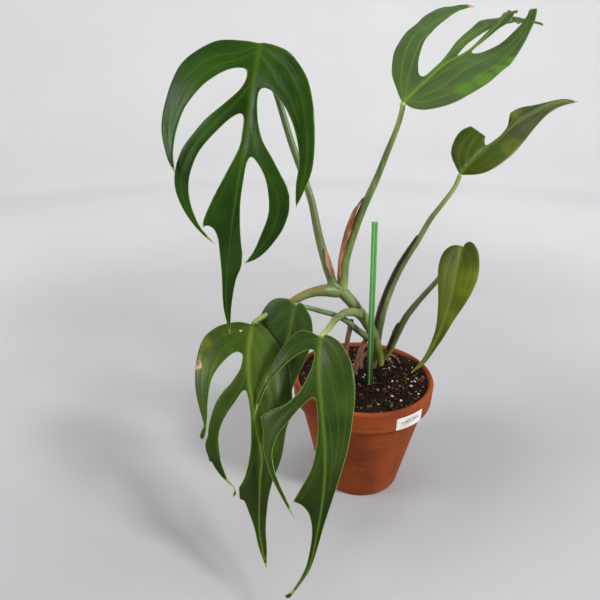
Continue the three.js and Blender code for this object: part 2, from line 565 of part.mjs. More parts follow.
// A dried sheath: a crescent section that follows the stalk just outside its skin
function sheath({ on, from, to, around, spread }, grow = 0) {
  const stations = stretchOf(PETIOLES[on], from, to, 7);
  const arc = 5;
  const inner = SECTION_CIRCLE + SHEATH_GAP - grow;
  const outer = SECTION_CIRCLE + SHEATH_GAP + SHEATH_THICKNESS + grow;
  const at = (i, reach) => {
    const angle = THREE.MathUtils.degToRad(around - spread + (2 * spread * i) / arc);
    return new THREE.Vector2(reach * Math.cos(angle), reach * Math.sin(angle));
  };
  const section = [
    ...Array.from({ length: arc + 1 }, (_, i) => at(i, outer)),
    ...Array.from({ length: arc + 1 }, (_, i) => at(arc - i, inner)),
  ];
  return limb(stations, { section });
}

// Ring scars where old leaves have dropped swell the stem a little
const scars = (share) => NODE_SCARS.reduce((sum, at) => sum + 0.12 * Math.exp(-(((share - at) * 60) ** 2)), 1);

// The plant's solids are made in order, and each is cut clear of those before it
const limbStep = { STEM: 3, ROOT: 5 };
const stemOptions = { sides: 10, step: limbStep.STEM, relief: scars };
const taken = [{ name: 'stem', grown: limb(STEM, { ...stemOptions, grow: GAP }) }];
const pieces = [['stem', limb(STEM, stemOptions), stemGreen]];

function addClear(name, solid, grown, material, host = null) {
  const others = taken.filter((other) => other.name !== host);
  const clear = others.reduce((left, other) => left.subtract(other.grown), solid);
  pieces.push([name, clear, material]);
  taken.push({ name, grown });
}

for (const [name, stations] of Object.entries(PETIOLES)) {
  addClear(name, limb(stations), limb(stations, { grow: GAP }), petioleGreen);
}
for (const [name, stations] of Object.entries(ROOTS)) {
  const options = { sides: 7, step: limbStep.ROOT };
  addClear(name, limb(stations, options), limb(stations, { ...options, grow: GAP }), rootBrown);
}
addClear('stake', stake(), stake(GAP), greenPlastic);
for (const [name, spec] of Object.entries(SHEATHS)) {
  addClear(name, sheath(spec), sheath(spec, GAP), driedSheath, spec.on);
}
for (const [name, spec] of Object.entries(BLADES)) {
  const clear = taken.reduce((left, other) => left.subtract(other.grown), blade(spec));
  pieces.push([name, clear, bladeGreen]);
}
const holes = taken.reduce((left, other) => left.subtract(other.grown), soil());
pieces.push(['soil', holes, pottingSoil], ['pot', pot(), terracotta], ['label', label(), whiteLabel]);

// The group: every piece is a named mesh, and the plant is moved so that the middle of its
// bounding box stands over the origin
const plant = new THREE.Group();
for (const [name, solid, material] of pieces) {
  const mesh = new THREE.Mesh(toGeometry(solid), material);
  mesh.name = name;
  plant.add(mesh);
}
const box = new THREE.Box3().setFromObject(plant, true);
plant.position.set(-(box.min.x + box.max.x) / 2, -(box.min.y + box.max.y) / 2, -box.min.z);

export default plant;
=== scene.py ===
# %% [markdown]
# # A young monstera with flame-shaped leaves
#
# This lesson dresses a measured model of a potted climbing plant. The measured solids give each
# piece its place and size. Here every piece is made again in finer mesh, in the same place, and
# gets a finish with the detail that the real one has: veins, pale margins, dried sheaths, bark,
# crumbly soil with perlite grains and unglazed clay.

import math
import random

import bpy
import numpy as np
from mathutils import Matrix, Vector, noise
from mathutils.geometry import delaunay_2d_cdt


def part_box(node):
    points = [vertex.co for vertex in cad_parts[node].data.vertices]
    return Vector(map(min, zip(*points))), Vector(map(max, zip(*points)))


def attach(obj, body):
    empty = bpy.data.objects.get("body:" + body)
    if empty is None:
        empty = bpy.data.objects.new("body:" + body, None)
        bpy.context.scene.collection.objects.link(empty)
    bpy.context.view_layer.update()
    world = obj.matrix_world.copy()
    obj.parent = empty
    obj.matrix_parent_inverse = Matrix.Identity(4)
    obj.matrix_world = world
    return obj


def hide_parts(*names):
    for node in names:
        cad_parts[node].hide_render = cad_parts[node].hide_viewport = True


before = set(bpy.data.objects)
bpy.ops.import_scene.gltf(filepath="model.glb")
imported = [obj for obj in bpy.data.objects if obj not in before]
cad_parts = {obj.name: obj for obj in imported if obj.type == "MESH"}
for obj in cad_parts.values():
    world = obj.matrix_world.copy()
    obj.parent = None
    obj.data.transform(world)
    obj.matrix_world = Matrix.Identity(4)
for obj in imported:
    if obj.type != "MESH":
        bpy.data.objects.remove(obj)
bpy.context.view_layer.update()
print("measured model:", len(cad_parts), "nodes")

# %% [markdown]
# ## Where things are
#
# The plant was laid out in millimetres round the pot's axis. The pot's box gives that axis in
# the shared frame, so each point of the plant is turned into metres and moved there in one step.

# %% The pot's axis and the step from millimetres to metres
pot_low, pot_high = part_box("pot")
pot_axis = np.array([(pot_low.x + pot_high.x) / 2, (pot_low.y + pot_high.y) / 2, 0.0])


def in_place(points_mm):
    return np.asarray(points_mm, float) / 1000 + pot_axis


print("pot axis at", np.round(pot_axis, 4).tolist())

# %% [markdown]
# ## The camera
#
# The photograph was taken from a little above the leaves, looking down by about 23 degrees. A
# camera is fully set by its place, its tilt and its focal length, and all three were worked out
# from the ellipses of the pot's rim and foot.

# %% Camera
CAMERA_MM = (-54, -389, 338)
CAMERA_DOWN = 23.2
FOCAL_SHARE = 523 / 600
SENSOR_MM = 36

camera = bpy.data.objects.new("camera", bpy.data.cameras.new("camera"))
camera.data.sensor_width = SENSOR_MM
camera.data.lens = SENSOR_MM * FOCAL_SHARE
camera.data.clip_start = 0.01
camera.location = in_place(CAMERA_MM)
camera.rotation_euler = (math.radians(90 - CAMERA_DOWN), 0, 0)
bpy.context.collection.objects.link(camera)
bpy.context.scene.camera = camera
print("lens", round(camera.data.lens, 2), "mm")

# %% [markdown]
# ## From points and faces to a piece
#
# Every piece ends the same way: its points and faces become a mesh, it takes a finish, it rides
# on the plant's one body, and it stands for the plain solid that it replaces. Numbers that the
# finish needs at each point, such as the distance to the nearest vein, go in as attributes.
# Most faces come from two patterns: rows of points joined by four-sided faces, and a thin sheet
# that gets a second side and a rim.

# %% Make a piece
def make_piece(name, points_mm, faces, finish, replaced=(), numbers=None):
    mesh = bpy.data.meshes.new(name)
    mesh.from_pydata(in_place(points_mm).tolist(), [], [tuple(map(int, face)) for face in faces])
    mesh.materials.append(finish)
    for number, values in (numbers or {}).items():
        attribute = mesh.attributes.new(number, "FLOAT", "POINT")
        attribute.data.foreach_set("value", np.asarray(values, np.float32))
    mesh.shade_smooth()
    piece = bpy.data.objects.new(name, mesh)
    bpy.context.collection.objects.link(piece)
    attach(piece, "root")
    if replaced:
        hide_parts(*replaced)
    print(name, len(points_mm), "points,", len(faces), "faces")


def join_rows(rows, columns, start=0, closed=True, inward=False):
    faces = []
    for k in range(rows - 1):
        low, high = start + k * columns, start + (k + 1) * columns
        for i in range(columns if closed else columns - 1):
            j = (i + 1) % columns
            near, far = (low + j, high + i) if not inward else (high + i, low + j)
            faces.append((low + i, near, high + j, far))
    return faces


def two_sided(sheet, count):
    sides = {(a, b) for face in sheet for a, b in zip(face, (*face[1:], face[0]))}
    rim = [(a, b, b + count, a + count) for a, b in sides if (b, a) not in sides]
    return [tuple(reversed(face)) for face in sheet] + [tuple(v + count for v in face) for face in sheet] + rim


# %% [markdown]
# ## Smooth lines
#
# A rib, a stalk or a stretch of a leaf's outline is a short list of points. A smooth line through
# them is a run of cubic arcs, each shaped by its two neighbours. At a free end the line runs on
# as it was going, and at a held end it simply stops.

# %% Smooth lines and reading along them
def smooth_line(points, per_span=24, held=False):
    p = np.asarray(points, float)
    first = p[0] if held else 2 * p[0] - p[1]
    last = p[-1] if held else 2 * p[-1] - p[-2]
    p = np.vstack([first, p, last])
    u = np.linspace(0, 1, per_span, endpoint=False)[:, None]
    spans = [
        0.5 * (2 * b + (c - a) * u + (2 * a - 5 * b + 4 * c - d) * u**2 + (3 * b - a - 3 * c + d) * u**3)
        for a, b, c, d in zip(p, p[1:], p[2:], p[3:])
    ]
    return np.vstack([*spans, p[-2]])


def lengths_along(line):
    return np.concatenate([[0], np.cumsum(np.linalg.norm(np.diff(line, axis=0), axis=1))])


def read_at(values, lengths, where):
    return np.stack([np.interp(where, lengths, values[:, k]) for k in range(values.shape[1])], axis=1)


def unit(vectors):
    return vectors / np.maximum(np.linalg.norm(vectors, axis=-1, keepdims=True), 1e-12)


def ease(low, high, values):
    share = np.clip((np.asarray(values, float) - low) / (high - low), 0, 1)
    return share * share * (3 - 2 * share)


print("straight test line is", lengths_along(smooth_line([[0, 0, 0], [10, 0, 0]]))[-1], "long")

# %% [markdown]
# ## The leaves, drawn flat
#
# A leaf blade is a flat sheet that has been bent. So each one is drawn flat first, as lengths
# along its rib and out to either side of it. The rib itself is a line in space, `face` says
# which way the upper side looks, `fold` lifts each half from the rib in degrees, and `curl`
# bends it on outward, in degrees for each centimetre. The outline runs round in smooth
# stretches that meet at corners: that is what makes the deep slots with round ends and the long
# pointed lobes of this plant. The veins of the lobes are drawn in the same flat way, because
# the finish and the relief both follow them.

# %% The seven blades
BLADES = {
    "blade_1": dict(
        rib=[[-80, -2, 358], [-85, -20, 332], [-89, -33, 303], [-94, -40, 278], [-101, -44, 240],
             [-107, -43, 193], [-106, -41, 160]],
        face=[[0, [-0.22, -0.7, 0.65]], [0.3, [-0.2, -0.95, 0.3]], [1, [-0.05, -1, 0.1]]],
        fold=8,
        curl=-3,
        outline=[
            [[0, 2], [-1.5, 13.5], [-1, 34], [12, 53.5], [30, 59.5], [52, 62], [72.5, 61], [88.5, 56.5],
             [98.5, 50.5]],
            [[92.5, 51], [84, 51.5], [64, 49], [48, 44.5], [32, 33], [22, 20], [20, 8], [26, 5], [35, 8],
             [45, 17], [58, 30], [73, 38], [85, 42.5], [97, 44], [109, 41.5], [122, 33], [133.5, 20],
             [139.5, 9.5]],
            [[134, 16], [127, 23], [115, 30], [101, 33], [86, 31], [72, 25], [58, 15], [51.5, 7],
             [53, 3.5], [62, 3], [74, 3.5], [90, 8.5], [110, 15.5], [123.5, 19.5], [129.5, 19.5]],
            [[128, 18], [127.5, 15.5], [129, 12], [133.5, 9], [141, 7], [163, 3.5], [190, 2], [210, 0]],
            [[184, -4], [163, -7], [152, -10], [142, -10]],
            [[128, -7], [109, -4], [90, -3.5], [81, -4], [78, -7], [85, -15], [95, -20.5], [111, -24],
             [129, -20.5], [140, -17], [149, -12]],
            [[144, -20], [136, -27], [122, -34.5], [108, -37.5], [97, -36]],
            [[90, -32], [78, -22], [67, -12], [55, -7], [40, -5], [34, -7], [36, -14], [46, -24],
             [60, -32.5], [75, -38], [91, -39], [103.5, -41.5]],
            [[92, -45], [78, -47.5], [60, -45.5], [42, -42], [26, -36], [10, -23], [3, -11], [0, -2]],
        ],
        drifts=[dict(start=40, end=100, inner=45.5, outer=70, by=[8, -7, 0])],
        veins=[
            [[2, 1], [8, 14], [12, 32], [24, 46], [42, 54], [62, 56], [84, 54]],
            [[6, 1], [13, 12], [19, 27], [32, 41], [48, 49], [66, 53]],
            [[30, 1], [42, 8], [54, 19], [68, 29], [84, 36], [99, 39], [114, 35], [128, 25], [137, 14]],
            [[72, 0.5], [88, 4.5], [104, 9.5], [120, 14]],
            [[3, -1], [12, -12], [22, -23], [38, -33], [56, -39], [74, -43], [94, -43]],
            [[9, -1], [19, -9], [30, -17], [42, -27], [56, -35]],
            [[54, -1], [67, -5], [79, -12], [91, -23], [104, -30], [120, -29], [134, -23], [145, -16]],
        ],
    ),
    "blade_2": dict(
        rib=[[18, 0, 321], [32, 16, 331], [54, 38, 346], [70.9, 56, 352.6], [88.2, 71, 362.7],
             [105, 86, 374.8], [118.2, 99, 385.6], [128, 110, 385], [138, 119, 378]],
        face=[[0, [-0.3, -0.8, 0.5]], [1, [-0.3, -0.8, 0.6]]],
        fold=[[34, 0], [8, 42]],
        curl=[[-4, -4], [-4, 0]],
        outline=[
            [[-1, 2], [-3, 9], [0, 17], [11, 27], [28, 34], [49.5, 41], [72.5, 42], [102, 39], [134, 32],
             [148, 27.5], [156, 22.5], [164, 16]],
            [[163.5, 13.5], [147.5, 20.5], [139, 21.5], [126.5, 21], [108.5, 20], [98, 15.5], [90, 10.5],
             [89.5, 5], [97.5, 2.5], [109.5, 3], [129, 4.5], [140.5, 9], [164, 3.5], [166.5, 0]],
            [[158.5, -3.5], [145, -3], [122.5, -2.5], [98.5, -1], [86, -1], [78.5, -1.5], [85, -3],
             [98.5, -6], [119, -8.5], [138.5, -10.5], [153, -7.5], [169.5, -11.5], [179.5, -16.5]],
            [[181.5, -20], [175, -17], [172, -18.5], [167, -20.5], [154, -21], [141.5, -24.5],
             [119, -18.5], [101, -14.5], [83, -10], [60, -4], [43.5, -3], [33, -3.5], [31, -7], [38, -13],
             [49.5, -19], [67.5, -26], [91.5, -32], [115, -35], [128.5, -34.5], [140.5, -31.5],
             [147, -27]],
            [[147.5, -33], [145.5, -40], [134.5, -47.5], [119.5, -50.5], [97, -48], [65, -40], [44, -35],
             [28, -30], [12, -20], [3, -9], [-1, -1]],
        ],
        drifts=[
            dict(start=80, end=180, inner=-3.6, outer=-27, by=[30, 22, -15]),
            dict(start=90, end=156, inner=14, outer=60, by=[0, 0, -3.4]),
        ],
        veins=[
            [[2, 0.5], [12, 8], [28, 14], [50, 18], [70, 21], [90, 25], [110, 29], [132, 27], [150, 22]],
            [[1, 1], [8, 14], [24, 23], [46, 31], [72, 34], [98, 34], [122, 32]],
            [[26, 0.5], [42, 5], [58, 8], [74, 10]],
            [[1, -0.5], [10, -10], [24, -19], [42, -27], [62, -33], [84, -36], [106, -38], [126, -36],
             [138, -30]],
            [[3, -0.5], [12, -6], [24, -12], [38, -18], [54, -24], [72, -29]],
            [[52, -1], [76, -6], [96, -10], [118, -13], [140, -15], [162, -15]],
        ],
    ),
    "blade_3": dict(
        rib=[[70, 20, 269], [83, 28, 280], [102, 38, 293], [124, 50, 307], [149, 59, 317], [172, 64, 319]],
        face=[[0, [-0.3, -0.8, 0.5]], [1, [-0.3, -0.8, 0.5]]],
        fold=10,
        curl=-3,
        outline=[
            [[-1, 1], [2, 6], [6, 11], [12, 15], [22, 17.5], [38, 18], [52, 16.5], [70, 13], [88, 8],
             [104, 4.5], [118, 1.5], [125, 0]],
            [[114, -2.5], [100, -3], [88, -5], [76, -9], [67, -10]],
            [[63, -7], [57, -3], [48, -1.2], [38, -1.2], [32, -2], [33, -5], [37, -8]],
            [[36, -15], [35, -22]],
            [[27, -24], [18, -22], [8, -16], [2, -7], [-1, -1]],
        ],
        veins=[
            [[2, 0.5], [12, 6], [28, 9], [48, 9], [68, 7], [88, 4]],
            [[4, 0.5], [10, 9], [24, 13.5], [42, 14]],
            [[2, -0.5], [8, -8], [18, -14], [31, -17]],
            [[8, -0.5], [16, -6], [25, -10], [33, -12]],
            [[46, -0.3], [60, -2.5], [72, -5.5], [84, -4.5]],
        ],
    ),
    "blade_4": dict(
        rib=[[77, 17, 212], [70, 2, 190], [65, -7, 171], [57, -15, 148], [45, -22, 127], [34, -25, 117]],
        face=[[0, [-0.1, -0.8, 0.6]], [1, [-0.1, -0.8, 0.6]]],
        fold=12,
        curl=-6,
        outline=[
            [[1, 1], [1, 5], [4, 10], [11, 14], [22, 15], [36, 12.5], [54, 8], [72, 4], [90, 2], [104, 1.5],
             [114, 0]],
            [[100, -2], [84, -3.5], [64, -6.5], [50, -10.5], [38, -14.5], [24, -17], [10, -15.5], [1, -12],
             [-4, -7], [-3, -3], [1, -1]],
        ],
        veins=[
            [[3, 0.5], [12, 6], [28, 7.5], [48, 5], [68, 2.5]],
            [[5, 0.3], [20, 3.5], [40, 3.5], [60, 2]],
            [[2, -0.5], [8, -8], [22, -11], [38, -9.5], [56, -6]],
            [[6, -0.3], [20, -5], [40, -5], [60, -3]],
        ],
    ),
    "blade_5": dict(
        rib=[[-90, -30, 164], [-92, -48, 151], [-91, -63, 138], [-88, -75, 123], [-85, -85, 107],
             [-81, -94, 92], [-82, -104, 76], [-82, -119, 49], [-77, -133, 28]],
        face=[[0, [-0.05, -0.5, 0.86]], [0.4, [0, -0.8, 0.6]], [1, [0, -0.8, 0.5]]],
        fold=[[-10, 8], [8, 8]],
        curl=[[-7, -3], [-7, -3]],
        outline=[
            [[0, 2], [-1, 12], [3, 26], [12, 35], [26, 39], [44, 40], [60, 38], [71, 36.5], [74.5, 38.5],
             [78, 40.5]],
            [[80, 38.5], [76, 35.5], [66, 33], [54, 31], [39.5, 26], [28, 16], [23.5, 9], [26, 4.5],
             [35.5, 6], [44.5, 12.5], [50.5, 20], [58, 26.5], [71.5, 32.5], [78, 34.5], [83, 37.5],
             [90, 37], [98, 37], [107, 34.5], [113, 28.5], [116.5, 23], [120.5, 18], [126.5, 18.5]],
            [[124, 16], [119, 18], [113.5, 23.5], [103, 28.5], [83, 27.5], [70.5, 22], [57.5, 11],
             [51.5, 4.5], [56, 2.5], [70, 2.5], [83.5, 4.5], [97.5, 8.5], [112, 10.5], [120, 14.5]],
            [[127.5, 13.5], [129, 10.5], [137, 7], [147, 3.5], [160.5, 2], [174.5, 0]],
            [[160, -3.5], [142, -5], [124, -7], [104, -12.5], [84, -22], [66, -28.5], [48, -31],
             [30, -29.5], [16, -23], [5, -14], [-1, -5], [0, -1]],
        ],
        veins=[
            [[2, 1], [7, 12], [14, 24], [26, 32], [44, 35], [60, 35], [74, 36]],
            [[6, 1], [12, 8], [20, 18], [32, 26], [46, 30]],
            [[36, 1], [48, 6], [60, 16], [74, 25], [88, 30], [102, 29], [114, 23], [124, 17]],
            [[80, 0.5], [96, 4], [110, 8], [121, 12]],
            [[1, -0.5], [10, -10], [24, -18], [42, -22], [60, -21], [78, -17], [96, -11]],
            [[12, -0.5], [26, -8], [44, -13], [64, -14], [86, -11]],
            [[36, -0.5], [54, -5], [74, -7.5], [96, -6.5], [116, -4.5]],
        ],
    ),
    "blade_6": dict(
        rib=[[-39, -55, 166], [-41, -71, 152], [-39, -89, 128], [-37, -104, 107], [-38, -118, 86],
             [-42, -132, 65], [-48, -144, 44], [-59, -150, 26]],
        face=[[0, [-0.25, -0.5, 0.86]], [0.4, [-0.2, -0.8, 0.6]], [1, [-0.1, -0.8, 0.5]]],
        fold=[[8, 8], [11, 8]],
        curl=[[-7, -3], [-6, -3]],
        outline=[
            [[-1, 2], [-4, 9], [-4, 17], [4, 24], [16, 31], [28, 38], [40, 46], [52, 49]],
            [[44, 45], [34, 39], [24, 29], [16, 18], [11, 9], [11, 4], [18, 3.5], [27, 7], [38, 14.5], [46, 25],
             [49, 35], [53, 44.5]],
            [[62, 43], [75, 43.5], [90, 40], [104, 34], [118, 24], [126, 16]],
            [[117, 22], [106, 29], [94, 34.5], [80, 36.5], [66, 32], [56, 22], [47, 12], [43, 5.5], [46, 3.5],
             [60, 3.5], [74, 5.5], [90, 9], [104, 15], [115, 19.5]],
            [[115.5, 16], [117, 12], [122, 7], [132, 3.5], [146, 2.5], [164, 1.5], [174, 1.5], [179, 4]],
            [[178, 0], [160, -1], [142, -2], [120, -4.5], [98, -9.5], [76, -16], [56, -21.5], [36, -24.5],
             [18, -22.5], [5, -15], [-1, -6], [-1, -1]],
        ],
        veins=[
            [[1, 1], [4, 10], [10, 20], [20, 29], [32, 38], [46, 46]],
            [[20, 1], [32, 7], [44, 15], [54, 28], [64, 37], [80, 40], [96, 37], [112, 27], [122, 19]],
            [[60, 0.5], [78, 3], [96, 7.5], [112, 14]],
            [[1, -0.5], [8, -9], [22, -16], [40, -18], [60, -16], [80, -11]],
            [[12, -0.5], [26, -6.5], [44, -10], [66, -10], [90, -6]],
            [[40, -0.5], [58, -4], [80, -5], [104, -3.5]],
        ],
    ),
    "blade_7": dict(
        rib=[[-58, -26, 179], [-62, -33, 159], [-67, -36, 136], [-70, -37, 102], [-69, -37, 89]],
        face=[[0, [-0.05, -0.8, 0.6]], [1, [0, -1, 0.1]]],
        fold=[[10, 10], [-6, 6]],
        curl=-8,
        outline=[
            [[0, 1], [-3, 6], [-1, 16.5], [6.5, 23.5], [20, 27], [34, 24], [50, 18], [68, 10], [82, 4],
             [92, 0]],
            [[78, -7], [60, -12], [42, -16.5], [26, -18.5], [12, -16], [3, -11], [-2, -5], [0, -1]],
        ],
        veins=[
            [[2, 0.5], [8, 9], [20, 16], [36, 16], [54, 11], [72, 5]],
            [[10, 0.5], [24, 8], [42, 8], [62, 5]],
            [[2, -0.5], [10, -9], [24, -12.5], [42, -11], [60, -7]],
            [[12, -0.5], [26, -6], [46, -6], [66, -4]],
        ],
    ),
}
print("blades:", len(BLADES), "with", sum(len(leaf["veins"]) for leaf in BLADES.values()), "lobe veins")

# %% [markdown]
# ## Bending the flat sheet
#
# A point of the flat drawing is laid in space by three moves: along the rib, out to the side on
# a circular arc, and up by the same arc. The arc starts at the fold's angle and turns steadily,
# so a half can be lifted at the rib and still droop at its edge, as real leaves do. A few lobes
# also drift from that surface, more and more towards their tips.

# %% Lay flat points on the blade's surface
CENTIMETRE = 10
ALMOST_STRAIGHT = 1e-7
RIB_STEPS = 60


def lay_blade(leaf, along, across):
    line = smooth_line(leaf["rib"], RIB_STEPS)
    lengths = lengths_along(line)
    held = np.clip(along, 0, lengths[-1])
    share = held / lengths[-1]
    tangent = unit(read_at(unit(np.gradient(line, axis=0)), lengths, held))
    shares = np.array([stop for stop, _ in leaf["face"]], float)
    looks = np.array([look for _, look in leaf["face"]], float)
    up = read_at(looks, shares, share)
    up = unit(up - np.sum(up * tangent, axis=1, keepdims=True) * tangent)
    side = np.cross(tangent, up)
    half = (across > 0).astype(int)
    fold, curl = (np.radians(np.broadcast_to(np.array(leaf[key], float), (2, 2))) for key in ("fold", "curl"))
    curl = curl / CENTIMETRE
    lift = fold[half, 0] + (fold[half, 1] - fold[half, 0]) * share
    bend = curl[half, 0] + (curl[half, 1] - curl[half, 0]) * share
    bend = np.where(np.abs(bend) < ALMOST_STRAIGHT, ALMOST_STRAIGHT, bend)
    out = np.abs(across)
    sideways = np.sign(across) * (np.sin(lift + bend * out) - np.sin(lift)) / bend
    upward = (np.cos(lift) - np.cos(lift + bend * out)) / bend
    place = read_at(line, lengths, held) + tangent * (along - held)[:, None]
    place = place + side * sideways[:, None] + up * upward[:, None]
    for drift in leaf.get("drifts", []):
        low, high = sorted((drift["inner"], drift["outer"]))
        reach = np.clip((along - drift["start"]) / (drift["end"] - drift["start"]), 0, 1)
        reach = np.where((across > low) & (across < high), reach, 0)
        place = place + np.outer(reach**2, drift["by"])
    return place


# %% [markdown]
# ## Cutting the sheet into small triangles
#
# The outline is walked in steps of about a millimetre, and a grid of points fills its inside.
# A constrained triangulation then joins them, with the outline and the veins held as edges.
# Because the veins are edges, the distance to a vein is exact there, and a thin pale line stays
# crisp even though it is stored only at the points.

# %% Outline, inside points and distances
BLADE_STEP = 1.3


def walk(line, step):
    lengths = lengths_along(line)
    count = max(1, int(round(lengths[-1] / step)))
    return read_at(line, lengths, np.linspace(0, lengths[-1], count + 1))


def outline_ring(leaf):
    ring = []
    corner = leaf["outline"][0][0]
    for number, stretch in enumerate(leaf["outline"]):
        points = stretch if number == 0 else [corner, *stretch]
        ring.extend(walk(smooth_line(points, held=True), BLADE_STEP)[:-1])
        corner = stretch[-1]
    return np.array([*ring, corner])


def distance_to_line(points, line):
    least = np.full(len(points), 1e9)
    for a, b in zip(line, line[1:]):
        edge = b - a
        share = np.clip(((points - a) @ edge) / max(edge @ edge, 1e-9), 0, 1)
        least = np.minimum(least, np.linalg.norm(points - a - share[:, None] * edge, axis=1))
    return least


def is_inside(points, ring):
    inside = np.zeros(len(points), bool)
    for a, b in zip(ring, np.roll(ring, 1, axis=0)):
        if a[1] == b[1]:
            continue
        crosses = (a[1] > points[:, 1]) != (b[1] > points[:, 1])
        meet = (b[0] - a[0]) * (points[:, 1] - a[1]) / (b[1] - a[1]) + a[0]
        inside ^= crosses & (points[:, 0] < meet)
    return inside


# %% Triangles of one flat blade
def cut_blade(leaf):
    ring = outline_ring(leaf)
    closed = np.vstack([ring, ring[:1]])
    length = lengths_along(smooth_line(leaf["rib"], RIB_STEPS))[-1]
    stops = np.arange(1.0, length - 3, BLADE_STEP)
    rib_line = np.column_stack([stops, np.zeros(len(stops))])
    lines = [rib_line] + [walk(smooth_line(vein), BLADE_STEP) for vein in leaf["veins"]]
    kept = []
    for line in lines:
        fits = is_inside(line, ring) & (distance_to_line(line, closed) > 0.5 * BLADE_STEP)
        kept.append(line[fits])
    low, high = ring.min(axis=0), ring.max(axis=0)
    row = BLADE_STEP * math.sqrt(0.75)
    grid = []
    for k, x in enumerate(np.arange(low[0], high[0], row)):
        y = np.arange(low[1] + (k % 2) * BLADE_STEP / 2, high[1], BLADE_STEP)
        grid.append(np.column_stack([np.full(len(y), x), y]))
    grid = np.vstack(grid)
    grid = grid[is_inside(grid, ring)]
    grid = grid[distance_to_line(grid, closed) > 0.6 * BLADE_STEP]
    for line in kept:
        if len(line) > 1:
            grid = grid[distance_to_line(grid, line) > 0.55 * BLADE_STEP]
    points = [ring, *[line for line in kept if len(line) > 1], grid]
    edges = []
    start = len(ring)
    for line in points[1:-1]:
        spaces = np.linalg.norm(np.diff(line, axis=0), axis=1)
        edges.extend((start + k, start + k + 1) for k in range(len(line) - 1) if spaces[k] < 2 * BLADE_STEP)
        start += len(line)
    points = np.vstack(points)
    made = delaunay_2d_cdt([Vector(p) for p in points], edges, [list(range(len(ring)))], 1, 1e-5)
    return np.array([list(p) for p in made[0]]), [tuple(face) for face in made[2]], closed


for name, leaf in BLADES.items():
    leaf["flat"], leaf["triangles"], leaf["rim"] = cut_blade(leaf)
    print(name, len(leaf["triangles"]), "triangles on each side")

# %% [markdown]
# ## Thickness, veins in relief, and waves
#
# The sheet gets two sides, half a millimetre apart and thinner at the margin. On the upper side
# the midrib lies in a shallow groove, and the tissue between the lobe veins swells a little. On
# the underside the midrib stands out as a ridge. Last, the margin waves gently, and the crest of
# the highest leaf is held to its true height. All of this is real shape in the mesh, so it holds
# in any light.

# %% Build a blade with two sides
HALF_THICKNESS = 0.24
EDGE_THICKNESS = 0.1
MIDRIB_GROOVE = 0.35
MIDRIB_RIDGE = 0.75
QUILT = 0.3
TALLEST = 393.1


def vertex_normals(points, triangles):
    corners = points[np.array(triangles)]
    faces = np.cross(corners[:, 1] - corners[:, 0], corners[:, 2] - corners[:, 0])
    normals = np.zeros_like(points)
    for k in range(3):
        np.add.at(normals, np.array(triangles)[:, k], faces)
    return unit(normals)


def dress_blade(name, leaf, finish, spots=()):
    flat = leaf["flat"]
    along, across = flat[:, 0], flat[:, 1]
    middle = lay_blade(leaf, along, across)
    triangles = leaf["triangles"]
    up = -vertex_normals(middle, triangles)
    edge = distance_to_line(flat, leaf["rim"])
    length = along.max()
    rib = np.abs(across) + 60 * ease(length - 6, length, along)
    lobe = np.full(len(flat), 1e9)
    for vein in leaf["veins"]:
        lobe = np.minimum(lobe, distance_to_line(flat, smooth_line(vein)))
    nearest = np.minimum(rib, lobe)
    rib_width = 1.9 - 1.3 * ease(0, length, along)
    groove = MIDRIB_GROOVE * np.exp(-((rib / rib_width) ** 2)) + 0.16 * np.exp(-((lobe / 0.7) ** 2))
    swell = QUILT * (1 - np.exp(-((nearest / 3.5) ** 2))) * ease(0, 4, edge)
    ridge = MIDRIB_RIDGE * np.exp(-((rib / (1.1 * rib_width)) ** 2)) + 0.22 * np.exp(-((lobe / 0.8) ** 2))
    ridge = ridge * ease(0.2, 1.5, edge)
    ripple = np.array([noise.noise(Vector(p * 0.035)) for p in middle])
    wave = 1.1 * ripple * (1 - ease(0, 12, edge)) * ease(0, 6, rib) * ease(4, 14, along)
    half = EDGE_THICKNESS + (HALF_THICKNESS - EDGE_THICKNESS) * ease(0, 1.6, edge)
    upper = middle + up * (half + swell - groove * ease(0, 1.5, edge) + wave)[:, None]
    lower = middle + up * (swell - half - ridge + wave)[:, None]
    sheet = np.vstack([upper, lower])
    sheet[:, 2] = np.minimum(sheet[:, 2], TALLEST)
    count = len(middle)
    # yellow, brown and dry are real marks of age and hurt; the fourth kind is painted light shining through the
    # thin margin
    hurt_and_painted_glow = {kind: np.zeros(count) for kind in ("yellow", "brown", "painted_glow", "dry")}
    for kind, s, t, size in spots:
        reach = np.hypot(along - s, across - t)
        hurt_and_painted_glow[kind] = np.maximum(hurt_and_painted_glow[kind], 1 - ease(0.35 * size, size, reach))
    numbers = {
        "rib": rib, "lobe": lobe, "edge": edge, "along": along, "under": np.zeros(count), **hurt_and_painted_glow,
    }
    numbers = {key: np.concatenate([values, values]) for key, values in numbers.items()}
    numbers["under"][count:] = 1
    faces = two_sided(triangles, count)
    make_piece(name.replace("blade", "leaf"), sheet, faces, finish, (name,), numbers)


# %% [markdown]
# ## A small kit for finishes
#
# A finish is a net of nodes. These helpers add a node, join it up and give back its output, so
# that the finishes below read as short recipes: a number from the mesh, a band or a ramp of it,
# a mix of two colours by it. Colours are given as they look on screen, from 0 to 255, and turned
# into the linear numbers that light works with.

# %% Helpers for finishes
def colour(red, green, blue):
    def linear(v):
        v = v / 255
        return v / 12.92 if v <= 0.04045 else ((v + 0.055) / 1.055) ** 2.4
    return (linear(red), linear(green), linear(blue), 1)


